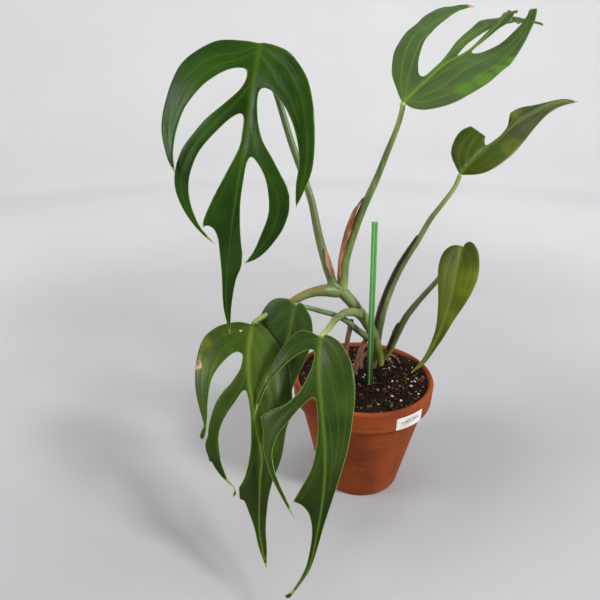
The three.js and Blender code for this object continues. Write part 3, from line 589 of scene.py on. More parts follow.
class Recipe:
    """The node tree of one finish, with short calls that add a node and return its output."""

    def __init__(self, name, roughness, specular=0.5):
        self.material = bpy.data.materials.new(name)
        self.material.use_nodes = True
        self.tree = self.material.node_tree
        self.shader = self.tree.nodes["Principled BSDF"]
        self.shader.inputs["Roughness"].default_value = roughness
        self.shader.inputs["Specular IOR Level"].default_value = specular

    def put(self, socket, value):
        if isinstance(value, bpy.types.NodeSocket):
            self.tree.links.new(value, socket)
        else:
            socket.default_value = value

    def node(self, kind, inputs=None, output=0, **settings):
        made = self.tree.nodes.new(kind)
        for key, value in settings.items():
            setattr(made, key, value)
        for key, value in (inputs or {}).items():
            self.put(made.inputs[key], value)
        return made.outputs[output]

    def number(self, name):
        return self.node("ShaderNodeAttribute", output="Fac", attribute_name=name)

    def math(self, operation, a, b=0.0):
        return self.node("ShaderNodeMath", {0: a, 1: b}, operation=operation)

    def band(self, value, low, high, at_low=0.0, at_high=1.0):
        return self.node("ShaderNodeMapRange", {
            "Value": value, "From Min": low, "From Max": high, "To Min": at_low, "To Max": at_high,
        }, interpolation_type="SMOOTHSTEP")

    def mix(self, share, first, second):
        mixed = self.tree.nodes.new("ShaderNodeMix")
        mixed.data_type = "RGBA"
        self.put(mixed.inputs[0], share)
        self.put(mixed.inputs[6], first)
        self.put(mixed.inputs[7], second)
        return mixed.outputs[2]

    def place(self):
        return self.node("ShaderNodeTexCoord", output="Object")

    def stretched(self, scale):
        return self.node("ShaderNodeMapping", {"Vector": self.place(), "Scale": scale})

    def noise(self, scale, detail=4.0, rough=0.55, vector=None, twist=0.0):
        return self.node("ShaderNodeTexNoise", {
            "Vector": vector or self.place(), "Scale": scale, "Detail": detail, "Roughness": rough,
            "Distortion": twist,
        }, output="Fac")

    def bump(self, height, distance, strength=1.0):
        inputs = {"Height": height, "Distance": distance, "Strength": strength}
        return self.node("ShaderNodeBump", inputs, output="Normal")

    def ragged(self, value, scale, depth, detail=4, rough=0.6):
        wander = self.math("SUBTRACT", self.noise(scale, detail, rough), 0.5)
        return self.math("ADD", value, self.math("MULTIPLY", wander, depth))

    def finish(self, base, roughness=None, normal=None):
        self.put(self.shader.inputs["Base Color"], base)
        if roughness is not None:
            self.put(self.shader.inputs["Roughness"], roughness)
        if normal is not None:
            self.put(self.shader.inputs["Normal"], normal)
        return self.material


# %% [markdown]
# ## The finish of a leaf blade
#
# A leaf of this plant is dark green and leathery, with a satin gloss. The midrib and the lobe
# veins are pale, because the tissue over them holds less green, and the very margin is a thin
# pale line. Fine streaks run beside the veins. The underside is lighter and duller. Old leaves
# go olive in patches, and a hurt spot dries brown inside a yellow ring. On the two low hanging
# leaves a painted shade darkens the blade towards its tip. Each of these is one mix over the
# last, driven by the numbers stored in the mesh.

# %% Leaf finish
SMALL_VEIN_SPACING = 2.7
LEAF_SPECULAR = 0.17
MARGIN_WIDTH = 0.42


def leaf_finish(name, deep, fresh, vein, margin, gloss=0.36, vein_share=0.3, rib_share=0.8, painted_low_shade=0.0):
    r = Recipe(name, gloss, specular=LEAF_SPECULAR)
    rib, lobe, edge = r.number("rib"), r.number("lobe"), r.number("edge")
    along, under = r.number("along"), r.number("under")
    base = r.mix(r.band(r.noise(30, 3, 0.5), 0.34, 0.68), deep, fresh)
    flow = r.node("ShaderNodeCombineXYZ", {
        0: r.math("MULTIPLY", lobe, 0.8), 1: r.math("MULTIPLY", rib, 0.3), 2: r.math("MULTIPLY", along, 0.025),
    })
    streak = r.noise(1.0, 3, 0.6, flow)
    base = r.mix(r.band(streak, 0.4, 0.7, 0.0, 0.35), base, fresh)
    waves = r.math("COSINE", r.math("MULTIPLY", lobe, 2 * math.pi / SMALL_VEIN_SPACING))
    patchy = r.band(r.noise(55, 3, 0.5), 0.42, 0.62, 0.1, 0.5)
    small_veins = r.math("MULTIPLY", r.band(waves, 0.55, 1.0), patchy)
    base = r.mix(r.math("MULTIPLY", small_veins, 0.3), base, vein)
    # painted shade: the hanging part of the leaf is darkened towards its tip
    base = r.mix(r.band(along, 40.0, 130.0, 0.0, painted_low_shade), base, colour(18, 32, 6))
    # painted light: a brighter yellow-green band where light shines through the margin of the upper right leaf
    base = r.mix(r.number("painted_glow"), base, colour(66, 104, 4))
    base = r.mix(r.band(lobe, 0.0, 2.6, 0.45 * vein_share, 0.0), base, vein)
    base = r.mix(r.band(lobe, 0.1, 0.6, vein_share, 0.0), base, vein)
    rib_out = r.math("DIVIDE", rib, r.band(along, 0.0, 150.0, 1.5, 0.5))
    base = r.mix(r.band(rib_out, 0.3, 2.4, 0.5 * rib_share, 0.0), base, vein)
    base = r.mix(r.band(rib_out, 0.2, 1.1, 0.75 * rib_share, 0.0), base, vein)
    base = r.mix(r.math("MULTIPLY", r.number("yellow"), r.band(r.noise(90, 3, 0.6), 0.3, 0.7, 0.25, 0.8)),
                 base, colour(104, 112, 16))
    brown = r.mix(r.band(r.noise(300, 4, 0.6), 0.35, 0.65), colour(98, 64, 38), colour(196, 168, 142))
    base = r.mix(r.band(r.number("brown"), 0.25, 0.7), base, brown)
    base = r.mix(r.band(edge, 0.3 * MARGIN_WIDTH, MARGIN_WIDTH, 0.9, 0.0), base, margin)
    base = r.mix(r.number("dry"), base, colour(176, 128, 112))
    base = r.mix(r.math("MULTIPLY", under, 0.6), base, colour(100, 132, 66))
    rough = r.math("ADD", r.band(streak, 0.3, 0.7, gloss - 0.05, gloss + 0.07), r.math("MULTIPLY", under, 0.18))
    skin = r.math("ADD", r.math("MULTIPLY", r.noise(700, 2, 0.5), 0.4), r.math("MULTIPLY", streak, 1.6))
    normal = r.bump(r.math("SUBTRACT", skin, r.math("MULTIPLY", small_veins, 0.8)), 0.00018, 0.6)
    r.shader.inputs["Subsurface Weight"].default_value = 0.08
    r.shader.inputs["Subsurface Radius"].default_value = (0.4, 1.0, 0.1)
    r.shader.inputs["Subsurface Scale"].default_value = 0.0015
    return r.finish(base, rough, normal)


# %% [markdown]
# ## Seven leaves, each of its own age
#
# The upper left leaf is the darkest, the upper right one is young and light, and the small ones
# at the right are turning olive. The low left leaf has a dry brown patch at its margin, with a
# yellow ring round it, and two small specks. Along one margin of the upper right leaf a brighter
# yellow-green is painted light, for light shining through the thin blade.

# %% Dress the blades
PALE_MARGIN = colour(136, 156, 70)
LEAF_LOOKS = {
    "blade_1": dict(deep=colour(22, 46, 1), fresh=colour(38, 70, 5), vein=colour(62, 92, 4),
                    margin=colour(122, 148, 60), vein_share=0.36, rib_share=0.9),
    "blade_2": dict(deep=colour(40, 64, 12), fresh=colour(58, 82, 20), vein=colour(92, 118, 28),
                    margin=colour(104, 132, 46), gloss=0.52, vein_share=0.3),
    "blade_3": dict(deep=colour(40, 56, 8), fresh=colour(60, 76, 14), vein=colour(92, 108, 30),
                    margin=colour(116, 136, 54), gloss=0.38, vein_share=0.2),
    "blade_4": dict(deep=colour(52, 66, 8), fresh=colour(76, 86, 12), vein=colour(104, 118, 36),
                    margin=colour(126, 136, 46), gloss=0.5, vein_share=0.12),
    "blade_5": dict(deep=colour(38, 56, 10), fresh=colour(62, 82, 20), vein=colour(98, 118, 34),
                    margin=PALE_MARGIN, gloss=0.38, vein_share=0.13, painted_low_shade=0.7),
    "blade_6": dict(deep=colour(34, 52, 12), fresh=colour(54, 74, 22), vein=colour(88, 112, 32),
                    margin=PALE_MARGIN, gloss=0.33, vein_share=0.13, painted_low_shade=0.7),
    "blade_7": dict(deep=colour(40, 58, 20), fresh=colour(56, 76, 30), vein=colour(82, 104, 34),
                    margin=colour(120, 144, 60), gloss=0.36, vein_share=0.2),
}
# Real marks, and on blade_2 patches of painted light along its margin
SPOTS = {
    "blade_1": [("dry", 209, 0, 5)],
    "blade_2": [("painted_glow", 34, 30, 10), ("painted_glow", 48, 37, 12), ("painted_glow", 66, 42, 12), ("painted_glow", 84, 42, 10),
                ("dry", 146, -29, 4)],
    "blade_3": [("yellow", 44, 14, 12), ("yellow", 70, -8, 8), ("dry", 124, 0, 5)],
    "blade_4": [("yellow", 30, -14, 20), ("yellow", 60, -7, 12), ("yellow", 110, -1, 20)],
    "blade_5": [("yellow", 30, 38, 9), ("yellow", 18, 33, 7), ("brown", 31, 37.5, 4.4),
                ("brown", 7, 8, 1.3), ("brown", 64, -18, 1.1)],
}
for name, looks in LEAF_LOOKS.items():
    finish = leaf_finish(name.replace("blade", "leaf") + " green", **looks)
    dress_blade(name, BLADES[name], finish, SPOTS.get(name, ()))

# %% [markdown]
# ## Stalks and stem as bent tubes
#
# A stalk is a round section carried along a smooth line. The section is turned as little as it
# can be from one station to the next, so the surface never twists. Where the stalk meets its
# blade it thickens into a short joint, and where the stem has dropped old leaves it carries ring
# scars. The thickness is a number at each station, times a factor from a small formula.

# %% A tube along a line
END_BULGE = 0.3


def frames_along(line):
    tangents = unit(np.gradient(line, axis=0))
    axis = np.eye(3)[int(np.argmin(np.abs(tangents[0])))]
    normal = np.cross(tangents[0], unit(np.cross(tangents[0], axis)))
    normals = [normal]
    for before, now in zip(tangents, tangents[1:]):
        turn = np.cross(before, now)
        size = np.linalg.norm(turn)
        if size > 1e-9:
            k, angle = turn / size, math.atan2(size, before @ now)
            normal = (normal * math.cos(angle) + np.cross(k, normal) * math.sin(angle)
                      + k * (k @ normal) * (1 - math.cos(angle)))
        normals.append(normal)
    normals = np.array(normals)
    return tangents, normals, np.cross(tangents, normals)


def sample_stations(stations, step):
    stations = np.asarray(stations, float)
    line = smooth_line(stations[:, :3], 40)
    lengths = lengths_along(line)
    radii = np.interp(np.linspace(0, len(stations) - 1, len(line)), np.arange(len(stations)), stations[:, 3])
    where = np.linspace(0, lengths[-1], max(4, int(lengths[-1] / step)) + 1)
    return read_at(line, lengths, where), np.interp(where, lengths, radii), where / lengths[-1]


def tube(stations, sides=24, step=1.5, factor=None, lump=None):
    line, radii, shares = sample_stations(stations, step)
    tangents, normals, binormals = frames_along(line)
    angles = np.linspace(0, 2 * math.pi, sides, endpoint=False)
    size = radii if factor is None else radii * factor(shares)
    out = normals[:, None] * np.cos(angles)[None, :, None] + binormals[:, None] * np.sin(angles)[None, :, None]
    reach = np.repeat(size[:, None], sides, axis=1)
    if lump is not None:
        reach = reach * lump(line, out)
    points = (line[:, None] + out * reach[..., None]).reshape(-1, 3)
    rings = len(line)
    faces = join_rows(rings, sides)
    ends = [line[0] - tangents[0] * size[0] * END_BULGE, line[-1] + tangents[-1] * size[-1] * END_BULGE]
    points = np.vstack([points, *ends])
    first, last = len(points) - 2, len(points) - 1
    faces += [(first, (i + 1) % sides, i) for i in range(sides)]
    faces += [(last, (rings - 1) * sides + i, (rings - 1) * sides + (i + 1) % sides) for i in range(sides)]
    share = np.concatenate([np.repeat(shares, sides), [0, 1]])
    looks = np.vstack([out.reshape(-1, 3), -tangents[0], tangents[-1]])
    return points, faces, share, looks


def lumps(spread, push, depth):
    def lump(line, out):
        heights = [[noise.noise(Vector(p * spread + o * push)) for o in ring] for p, ring in zip(line, out)]
        return 1 + depth * np.array(heights)
    return lump


# %% [markdown]
# ## Finish of the stalks
#
# A stalk is smooth and green, with fine lengthwise streaks. Near the blade and near the stem it
# is paler and yellower. Along one side some stalks keep the dark or brown rim of the wing that
# once wrapped the next leaf, so the mesh stores how much a point faces that side.

# %% Stalk finish
def stalk_finish(name, deep, fresh, tip, rim, rim_share):
    r = Recipe(name, 0.42)
    share, rim_side = r.number("share"), r.number("rim")
    grain = r.noise(70, 5, 0.6, r.stretched((1, 1, 0.16)))
    base = r.mix(r.band(grain, 0.35, 0.68), deep, fresh)
    streaks = r.noise(420, 3, 0.6, r.stretched((1, 1, 0.08)))
    base = r.mix(r.band(streaks, 0.45, 0.75, 0.0, 0.35), base, tip)
    base = r.mix(r.band(share, 0.72, 0.98, 0.0, 0.8), base, tip)
    base = r.mix(r.band(share, 0.0, 0.1, 0.55, 0.0), base, tip)
    rim_here = r.band(r.ragged(rim_side, 160, 0.7, rough=0.65), 0.45, 0.8)
    base = r.mix(r.math("MULTIPLY", rim_here, rim_share), base, rim)
    freckles = r.band(r.noise(800, 2, 0.5), 0.66, 0.74, 0.0, 0.35)
    base = r.mix(freckles, base, colour(84, 72, 36))
    return r.finish(base, r.band(grain, 0.3, 0.7, 0.34, 0.5), r.bump(streaks, 0.0003, 0.5))


STALKS = {
    "petiole_1": dict(
        stations=[[-27, -1, 184, 3.2], [-32, 1, 198, 3.5], [-39, 4, 222, 3.2], [-45, 9, 249, 2.9],
                  [-51.5, 13, 268, 2.7], [-61, 16, 294, 2.6], [-70, 18, 323, 2.4], [-77, 15, 343, 2.3],
                  [-80.5, 7, 354, 1.9], [-80.3, -1.2, 357, 1.2]],
        looks=dict(deep=colour(68, 88, 40), fresh=colour(100, 118, 66), tip=colour(100, 122, 56),
                   rim=colour(88, 70, 44), rim_share=0.3),
        rim=(0.1, -1, 0.1), rim_from=0.2, rim_to=0.42),
    "petiole_2": dict(
        stations=[[-20, 0, 181, 4.0], [-19, 2, 203, 3.9], [-14, 5, 221, 3.6], [-6.5, 8, 242, 3.1],
                  [4, 10, 267, 2.6], [10, 9, 285, 2.3], [15.5, 5, 303, 2.0], [17.5, 1, 315, 1.9],
                  [17.5, -1, 320.5, 1.9]],
        looks=dict(deep=colour(74, 96, 42), fresh=colour(106, 126, 62), tip=colour(160, 178, 92),
                   rim=colour(112, 84, 52), rim_share=0.4),
        rim=(-1, -0.3, 0.2), rim_from=0.0, rim_to=0.5),
    "petiole_3": dict(
        stations=[[13, 17, 118, 3.0], [14, 13, 147, 3.9], [19, 13, 170, 3.5], [28, 14, 194, 2.9],
                  [41, 16, 217, 2.3], [49, 17, 233, 2.1], [58, 18, 246, 1.9], [66, 19, 258, 1.8],
                  [69.5, 19.5, 268, 1.8]],
        looks=dict(deep=colour(76, 92, 44), fresh=colour(110, 126, 70), tip=colour(150, 168, 98),
                   rim=colour(66, 38, 26), rim_share=0.9),
        rim=(-1, -0.15, 0.3), rim_from=0.05, rim_to=0.68),
    "petiole_4": dict(
        stations=[[20, 20.5, 105, 2.2], [24.5, 17.5, 115, 2.8], [29.5, 14, 133, 3.0], [36, 13, 150, 2.8],
                  [46, 14, 165, 2.4], [60, 16, 182.5, 2.1], [71, 18, 199, 1.9], [77, 18, 211, 1.8]],
        looks=dict(deep=colour(92, 108, 44), fresh=colour(128, 144, 68), tip=colour(160, 174, 92),
                   rim=colour(78, 52, 30), rim_share=0.55),
        rim=(-1, -0.2, 0.3), rim_from=0.05, rim_to=0.55),
    "petiole_5": dict(
        stations=[[-24, -1, 179, 3.6], [-36, -6, 182, 4.0], [-50, -10, 180, 3.5], [-65, -17, 174, 2.9],
                  [-76, -19.5, 169.5, 2.3], [-85, -26.5, 167, 2.0], [-90, -31, 165, 1.6]],
        looks=dict(deep=colour(80, 100, 46), fresh=colour(112, 132, 66), tip=colour(116, 136, 64),
                   rim=colour(134, 96, 58), rim_share=0.6),
        rim=(0, -0.2, 1), rim_from=0.12, rim_to=0.8),
    "petiole_6": dict(
        stations=[[4, 9, 143, 3.4], [-2, 2, 155, 3.9], [-8, -4, 161.5, 3.7], [-13.5, -9.5, 165, 3.4],
                  [-20, -17, 167, 3.0], [-27, -27, 166.5, 2.7], [-32, -39, 166, 2.3], [-37, -51, 166.5, 2.0],
                  [-39, -55.5, 166.5, 1.9]],
        looks=dict(deep=colour(90, 110, 54), fresh=colour(124, 142, 78), tip=colour(158, 176, 98),
                   rim=colour(140, 104, 70), rim_share=0.55),
        rim=(0.1, 0.1, 1), rim_from=0.05, rim_to=0.6),
    "petiole_7": dict(
        stations=[[8, 14, 127, 2.4], [1, 6, 136, 2.7], [-7, 2, 144, 2.6], [-16, -3, 154, 2.4],
                  [-26, -9, 162, 2.2], [-37, -15, 168, 2.0], [-48, -21, 174, 1.8], [-58, -26, 179, 1.6]],
        looks=dict(deep=colour(72, 96, 58), fresh=colour(102, 126, 82), tip=colour(122, 146, 84),
                   rim=colour(104, 76, 48), rim_share=0.4),
        rim=(0, 0, 1), rim_from=0.0, rim_to=0.3),
}

# %% Make the stalks
FOOT_SWELL = {"petiole_5": 0.36, "petiole_6": 0.2}
USUAL_FOOT_SWELL = 0.12
JOINT_SWELL = 0.04
for name, stalk in STALKS.items():
    foot_swell = FOOT_SWELL.get(name, USUAL_FOOT_SWELL)

    def swelling(shares):
        return 1 + JOINT_SWELL * ease(0.9, 0.97, shares) + foot_swell * (1 - ease(0.0, 0.35, shares))

    points, faces, share, looks = tube(stalk["stations"], factor=swelling)
    within = ease(stalk["rim_from"] - 0.04, stalk["rim_from"] + 0.04, share)
    within = within * (1 - ease(stalk["rim_to"] - 0.08, stalk["rim_to"] + 0.04, share))
    rim = np.clip(looks @ unit(np.array(stalk["rim"], float)), 0, 1) * within
    label = name.replace("petiole", "stalk")
    finish = stalk_finish(label + " green", **stalk["looks"])
    make_piece(label, points, faces, finish, (name,), {"share": share, "rim": rim})

# %% [markdown]
# ## The climbing stem
#
# The stem leans out of the soil and turns up to the left. Each old leaf has left a ring scar,
# where the stem swells and a dry brown line runs round it. Between the scars it is green, and
# its lowest stretch, in shade and moisture, is yellow-green.

# %% Stem
STEM = [
    [19, 23.5, 84, 3.2], [17, 20, 106, 4.1], [13, 15.5, 122, 4.2], [8.5, 11.5, 135, 4.4], [2, 8, 148, 4.6],
    [-5.5, 5, 159, 4.7], [-13.5, 2, 170.5, 4.8], [-21, 0, 179, 4.9], [-27.5, -1, 184.5, 4.2],
    [-31, -2, 188, 2.4],
]
NODE_SCARS = [0.42, 0.66, 0.93]
SCAR_SHARPNESS = 70
SCAR_SWELL = 0.07


def scar_at(shares):
    return sum(np.exp(-(((shares - scar) * SCAR_SHARPNESS) ** 2)) for scar in NODE_SCARS)


def scar_swelling(shares):
    return 1 + SCAR_SWELL * scar_at(shares)


points, faces, share, looks = tube(
    STEM, sides=32, step=0.8, factor=scar_swelling, lump=lumps(spread=0.25, push=0.8, depth=0.05)
)
r = Recipe("stem green", 0.46)
along_stem = r.number("share")
grain = r.noise(60, 5, 0.6, r.stretched((1, 1, 0.3)))
base = r.mix(r.band(grain, 0.35, 0.66), colour(82, 102, 58), colour(124, 142, 90))
base = r.mix(r.band(along_stem, 0.2, 0.5, 0.9, 0.0), base, colour(134, 150, 44))
base = r.mix(r.band(r.noise(240, 4, 0.6), 0.5, 0.72, 0.0, 0.4), base, colour(150, 160, 104))
base = r.mix(r.band(r.ragged(r.number("scar"), 300, 0.6), 0.4, 0.8, 0.0, 0.85), base, colour(132, 74, 48))
base = r.mix(r.band(along_stem, 0.0, 0.13, 0.9, 0.0), base, colour(70, 50, 28))
stem_green = r.finish(base, r.band(grain, 0.3, 0.7, 0.38, 0.56), r.bump(r.noise(500, 4, 0.6), 0.0005, 0.5))
stem_numbers = {"share": share, "scar": scar_at(share)}
make_piece("climbing_stem", points, faces, stem_green, ("stem",), stem_numbers)

# %% [markdown]
# ## Dried sheaths
#
# Each new leaf came out of a sheath on the stalk below it. The sheath has dried to brown paper
# that still hugs one side of the stalk, torn at its edges and standing off a little at its top.
# It is a curved strip, thicker than paper only because it curls, with a ragged edge from noise.

# %% Sheaths
SHEATHS = {
    "sheath_1": dict(on="petiole_1", start=0.04, end=0.17, side=(0.5, -0.8, 0.1), spread=30, flare=0.6),
    "sheath_2": dict(on="petiole_2", start=0.06, end=0.5, side=(-1, -0.2, 0.1), spread=52, flare=3.2),
    "sheath_3": dict(on="petiole_3", start=0.12, end=0.66, side=(-1, -0.1, 0.3), spread=46, flare=0.3),
    "sheath_4": dict(on="petiole_4", start=0.1, end=0.34, side=(-1, -0.2, 0.3), spread=50, flare=0.8),
}
SHEATH_LOOKS = {
    "sheath_1": (colour(92, 60, 38), colour(172, 128, 90)),
    "sheath_2": (colour(104, 56, 32), colour(198, 134, 86)),
    "sheath_3": (colour(48, 26, 18), colour(92, 54, 36)),
    "sheath_4": (colour(62, 40, 24), colour(112, 78, 48)),
}
SHEATH_STAND_OFF = 0.3
SHEATH_THICKNESS = 0.3
SHEATH_COLUMNS = 17


def make_sheath(name, on, start, end, side, spread, flare):
    facing = unit(np.array(side, float))
    line, radii, shares = sample_stations(STALKS[on]["stations"], 1.0)
    tangents, normals, binormals = frames_along(line)
    keep = (shares >= start) & (shares <= end)
    stretch = list(zip(line[keep], radii[keep], normals[keep], binormals[keep]))
    rows = len(stretch)
    rise = np.linspace(0, 1, rows)
    points = []
    for thickness in (0.0, SHEATH_THICKNESS):
        for k, (centre, radius, n, b) in enumerate(stretch):
            narrow = 1 - 0.55 * ease(0.55, 1, rise[k]) - 0.25 * (1 - ease(0, 0.1, rise[k]))
            around = math.atan2(facing @ b, facing @ n)
            for i in range(SHEATH_COLUMNS):
                out = 2 * i / (SHEATH_COLUMNS - 1) - 1
                torn = 1 + 0.3 * noise.noise(Vector((rise[k] * rows * 0.12, math.copysign(3, out), len(on))))
                angle = around + math.radians(spread) * out * narrow * torn
                bulge = ease(0.05, 0.7, rise[k]) * (1 - ease(0.8, 1, rise[k]))
                lift = flare * bulge * (0.5 + 0.5 * math.cos(out * 1.2))
                curl = 0.5 * out**4
                crease = 0.18 * noise.noise(Vector((rise[k] * rows * 0.3, out * 4, 7)))
                reach = radius + SHEATH_STAND_OFF + thickness + lift + curl + crease
                points.append(centre + (n * math.cos(angle) + b * math.sin(angle)) * reach)
    faces = two_sided(join_rows(rows, SHEATH_COLUMNS, closed=False), rows * SHEATH_COLUMNS)
    dark, light = SHEATH_LOOKS[name]
    r = Recipe(name + " paper", 0.7)
    fibres = r.noise(150, 5, 0.65, r.stretched((1, 1, 0.12)))
    base = r.mix(r.band(fibres, 0.35, 0.65), dark, light)
    base = r.mix(r.band(r.noise(60, 3, 0.6), 0.55, 0.72, 0.0, 0.7), base, dark)
    finish = r.finish(base, None, r.bump(fibres, 0.0006, 0.8))
    make_piece(name + "_dry", np.array(points), faces, finish, (name,))


for name, sheath in SHEATHS.items():
    make_sheath(name, **sheath)

# %% [markdown]
# ## Aerial roots
#
# Roots leave the stem at its scars and reach down into the soil. They are brown and woody, with
# a rough bark, and no two are as thick. The roughness is partly in the mesh, as small lumps, and
# partly in the finish.

# %% Roots
ROOTS = {
    "aerial_root_1": [
        [-11, 4, 152, 1.6], [-12, 3, 146, 2.3], [-14, 0, 137, 2.1], [-16, -4, 120, 2.0], [-18, -6, 90, 1.6],
    ],
    "aerial_root_2": [
        [6, 12, 136, 1.5], [3, 13, 129, 2.2], [-1, 11, 119, 2.3], [-5, 8, 105, 2.2], [-8, 5, 88, 1.7],
    ],
    "aerial_root_3": [
        [12, 17, 119, 1.2], [5, 17, 113, 1.7], [0, 15, 106, 1.7], [2, 12, 95, 1.6], [4, 10, 88, 1.3],
    ],
    "aerial_root_4": [[15, 20, 107, 1.2], [13, 17, 103, 1.6], [11, 14, 97, 1.6], [10, 12, 86, 1.3]],
    "aerial_root_5": [[19, 23, 104, 1.0], [25, 23, 103, 1.3], [30, 24, 98, 1.3], [33, 26, 88, 1.1]],
    "aerial_root_6": [[24, 18.5, 111, 0.7], [30, 20, 108, 0.9], [35, 22, 101, 0.9], [39, 24, 88, 0.8]],
}
r = Recipe("root bark", 0.78)
bark = r.noise(180, 6, 0.7, r.stretched((1, 1, 0.35)))
base = r.mix(r.band(bark, 0.35, 0.65), colour(92, 58, 42), colour(138, 94, 72))
base = r.mix(r.band(r.noise(700, 3, 0.6), 0.55, 0.72, 0.0, 0.6), base, colour(168, 132, 108))
root_bark = r.finish(base, None, r.bump(bark, 0.0008, 0.8))
root_lumps = lumps(spread=0.45, push=0.9, depth=0.13)
for name, stations in ROOTS.items():
    points, faces, share, looks = tube(stations, sides=18, step=0.8, lump=root_lumps)
    make_piece(name + "_bark", points, faces, root_bark, (name,))

# %% [markdown]
# ## The stake
#
# A slim green plastic bar was pushed into the soil at a slight lean. Its corners are round and a
# shallow groove runs down its face. A paler line down the middle of each face is a painted
# highlight, and lower down the bar is darker with painted shade, where it stands in the plant's
# shade.

# %% Stake
STAKE = dict(foot=(5, -18, 30), top=(3, 0, 236), width=4.6, depth=3, corner=0.9)
GROOVE = 0.35
GROOVE_HALF_WIDTH = 0.8
STAKE_LEVELS = 70
CORNER_POINTS, CORNER_TURN = 7, 15


def stake_section():
    half_w, half_d, corner = STAKE["width"] / 2, STAKE["depth"] / 2, STAKE["corner"]
    ring = []
    for cx, cy, start in ((1, 1, 0), (-1, 1, 90), (-1, -1, 180), (1, -1, 270)):
        for k in range(CORNER_POINTS):
            angle = math.radians(start + CORNER_TURN * k)
            ring.append([cx * (half_w - corner) + corner * math.cos(angle),
                         cy * (half_d - corner) + corner * math.sin(angle)])
        if (cx, cy) == (-1, -1):
            ring += [[x, -half_d + GROOVE * math.cos(x / GROOVE_HALF_WIDTH * math.pi / 2)]
                     for x in np.linspace(-GROOVE_HALF_WIDTH, GROOVE_HALF_WIDTH, 9)]
    return np.array(ring)


foot, top = np.array(STAKE["foot"], float), np.array(STAKE["top"], float)
axis = unit(top - foot)
wide = unit(np.cross(np.cross(axis, [1, 0, 0]), axis))
deep = np.cross(axis, wide)
section = stake_section()
levels = np.concatenate([np.linspace(0, 1, STAKE_LEVELS)[:-1], [0.9985, 1.0]])
shrink = np.concatenate([np.ones(STAKE_LEVELS), [0.9]])
across_bar = np.array([wide, deep])
rings = [foot + (top - foot) * level + (section * s) @ across_bar for level, s in zip(levels, shrink)]
points = np.vstack([*rings, foot, top])
sides = len(section)
faces = join_rows(len(levels), sides)
faces += [(len(points) - 2, (i + 1) % sides, i) for i in range(sides)]
crown = (len(levels) - 1) * sides
faces += [(len(points) - 1, crown + i, crown + (i + 1) % sides) for i in range(sides)]
height = np.concatenate([np.repeat(levels, sides), [0, 1]])
centre = np.concatenate([np.tile(np.abs(section[:, 0]), len(levels)), [3, 0]])
r = Recipe("stake green", 0.4)
# painted shade: the bar is darker lower down, under the leaves
base = r.mix(r.band(r.number("height"), 0.35, 0.85), colour(30, 68, 22), colour(88, 160, 80))
# painted highlight: a paler line down the middle of each face
base = r.mix(r.band(r.number("centre"), 0.2, 1.1, 0.5, 0.0), base, colour(128, 184, 98))
base = r.mix(r.band(r.noise(300, 4, 0.6), 0.5, 0.75, 0.0, 0.25), base, colour(40, 96, 52))
rough = r.band(r.noise(500, 3, 0.5), 0.3, 0.7, 0.34, 0.5)
stake_green = r.finish(base, rough, r.bump(r.noise(900, 2, 0.5), 0.0001, 0.5))
make_piece("plant_stake", points, faces, stake_green, ("stake",), {"height": height, "centre": centre})

# %% [markdown]
# ## The pot
#
# The pot is turned clay, so its shape is one profile swept round. The collar stands proud of the
# body, the lip is rounded, and the fingers or the tool of the maker left faint rings. Fired clay
# without a glaze is matt and orange-brown, with paler clouds where salts dried on it, and with
# tiny pits. The rings and edges are mesh, and the clouds and pits are finish.

# %% Pot
POT_HEIGHT, RIM_RADIUS, COLLAR_HEIGHT, COLLAR_LOW_RADIUS = 102, 60, 19, 59
BODY_TOP_RADIUS, BASE_RADIUS, WALL, FLOOR, DRAIN_RADIUS = 54.3, 36, 4.5, 7, 6
COLLAR_FOOT = POT_HEIGHT - COLLAR_HEIGHT
SHOULDER = COLLAR_FOOT - 4
FLOOR_EDGE = BASE_RADIUS - WALL + 1
LIP = 1.6
ROUND_STEPS = 192


def rounded(points, radius=0.5, steps=4):
    p = np.array(points, float)
    made = [p[0]]
    for before, here, after in zip(p, p[1:], p[2:]):
        back, on = before - here, after - here
        reach = min(radius, 0.45 * np.linalg.norm(back), 0.45 * np.linalg.norm(on))
        a, b = here + unit(back) * reach, here + unit(on) * reach
        for t in np.linspace(0, 1, steps):
            made.append((1 - t) ** 2 * a + 2 * t * (1 - t) * here + t * t * b)
    return np.array([*made, p[-1]])


def pot_profile():
    inner_top = RIM_RADIUS - WALL
    outline = rounded([
        [DRAIN_RADIUS, 0], [BASE_RADIUS - 1.5, 0], [BASE_RADIUS, 1.2], [BODY_TOP_RADIUS, COLLAR_FOOT],
        [COLLAR_LOW_RADIUS - 0.8, COLLAR_FOOT], [COLLAR_LOW_RADIUS, COLLAR_FOOT + 0.8],
        [RIM_RADIUS, POT_HEIGHT - LIP * 1.5], [RIM_RADIUS - 0.5, POT_HEIGHT - 0.5],
        [RIM_RADIUS - LIP, POT_HEIGHT], [inner_top + LIP, POT_HEIGHT], [inner_top + 0.4, POT_HEIGHT - 0.8],
        [inner_top, POT_HEIGHT - LIP * 1.5], [BODY_TOP_RADIUS - WALL, SHOULDER],
        [FLOOR_EDGE, FLOOR], [DRAIN_RADIUS, FLOOR], [DRAIN_RADIUS, 0],
    ])
    return walk(outline, 1.0)


def turning_rings(radius, z):
    rings = 0.04 * math.sin(z * 2.1 + 1.5 * math.sin(z * 0.37)) + 0.03 * math.sin(z * 5.3)
    collar_bands = 0.12 * math.sin((z - COLLAR_FOOT) * 1.1) if COLLAR_FOOT + 2 < z < POT_HEIGHT - 3 else 0
    outside = 1 if radius > BASE_RADIUS and z > 2 else 0
    return radius - 0.2 * outside + outside * (rings + collar_bands)


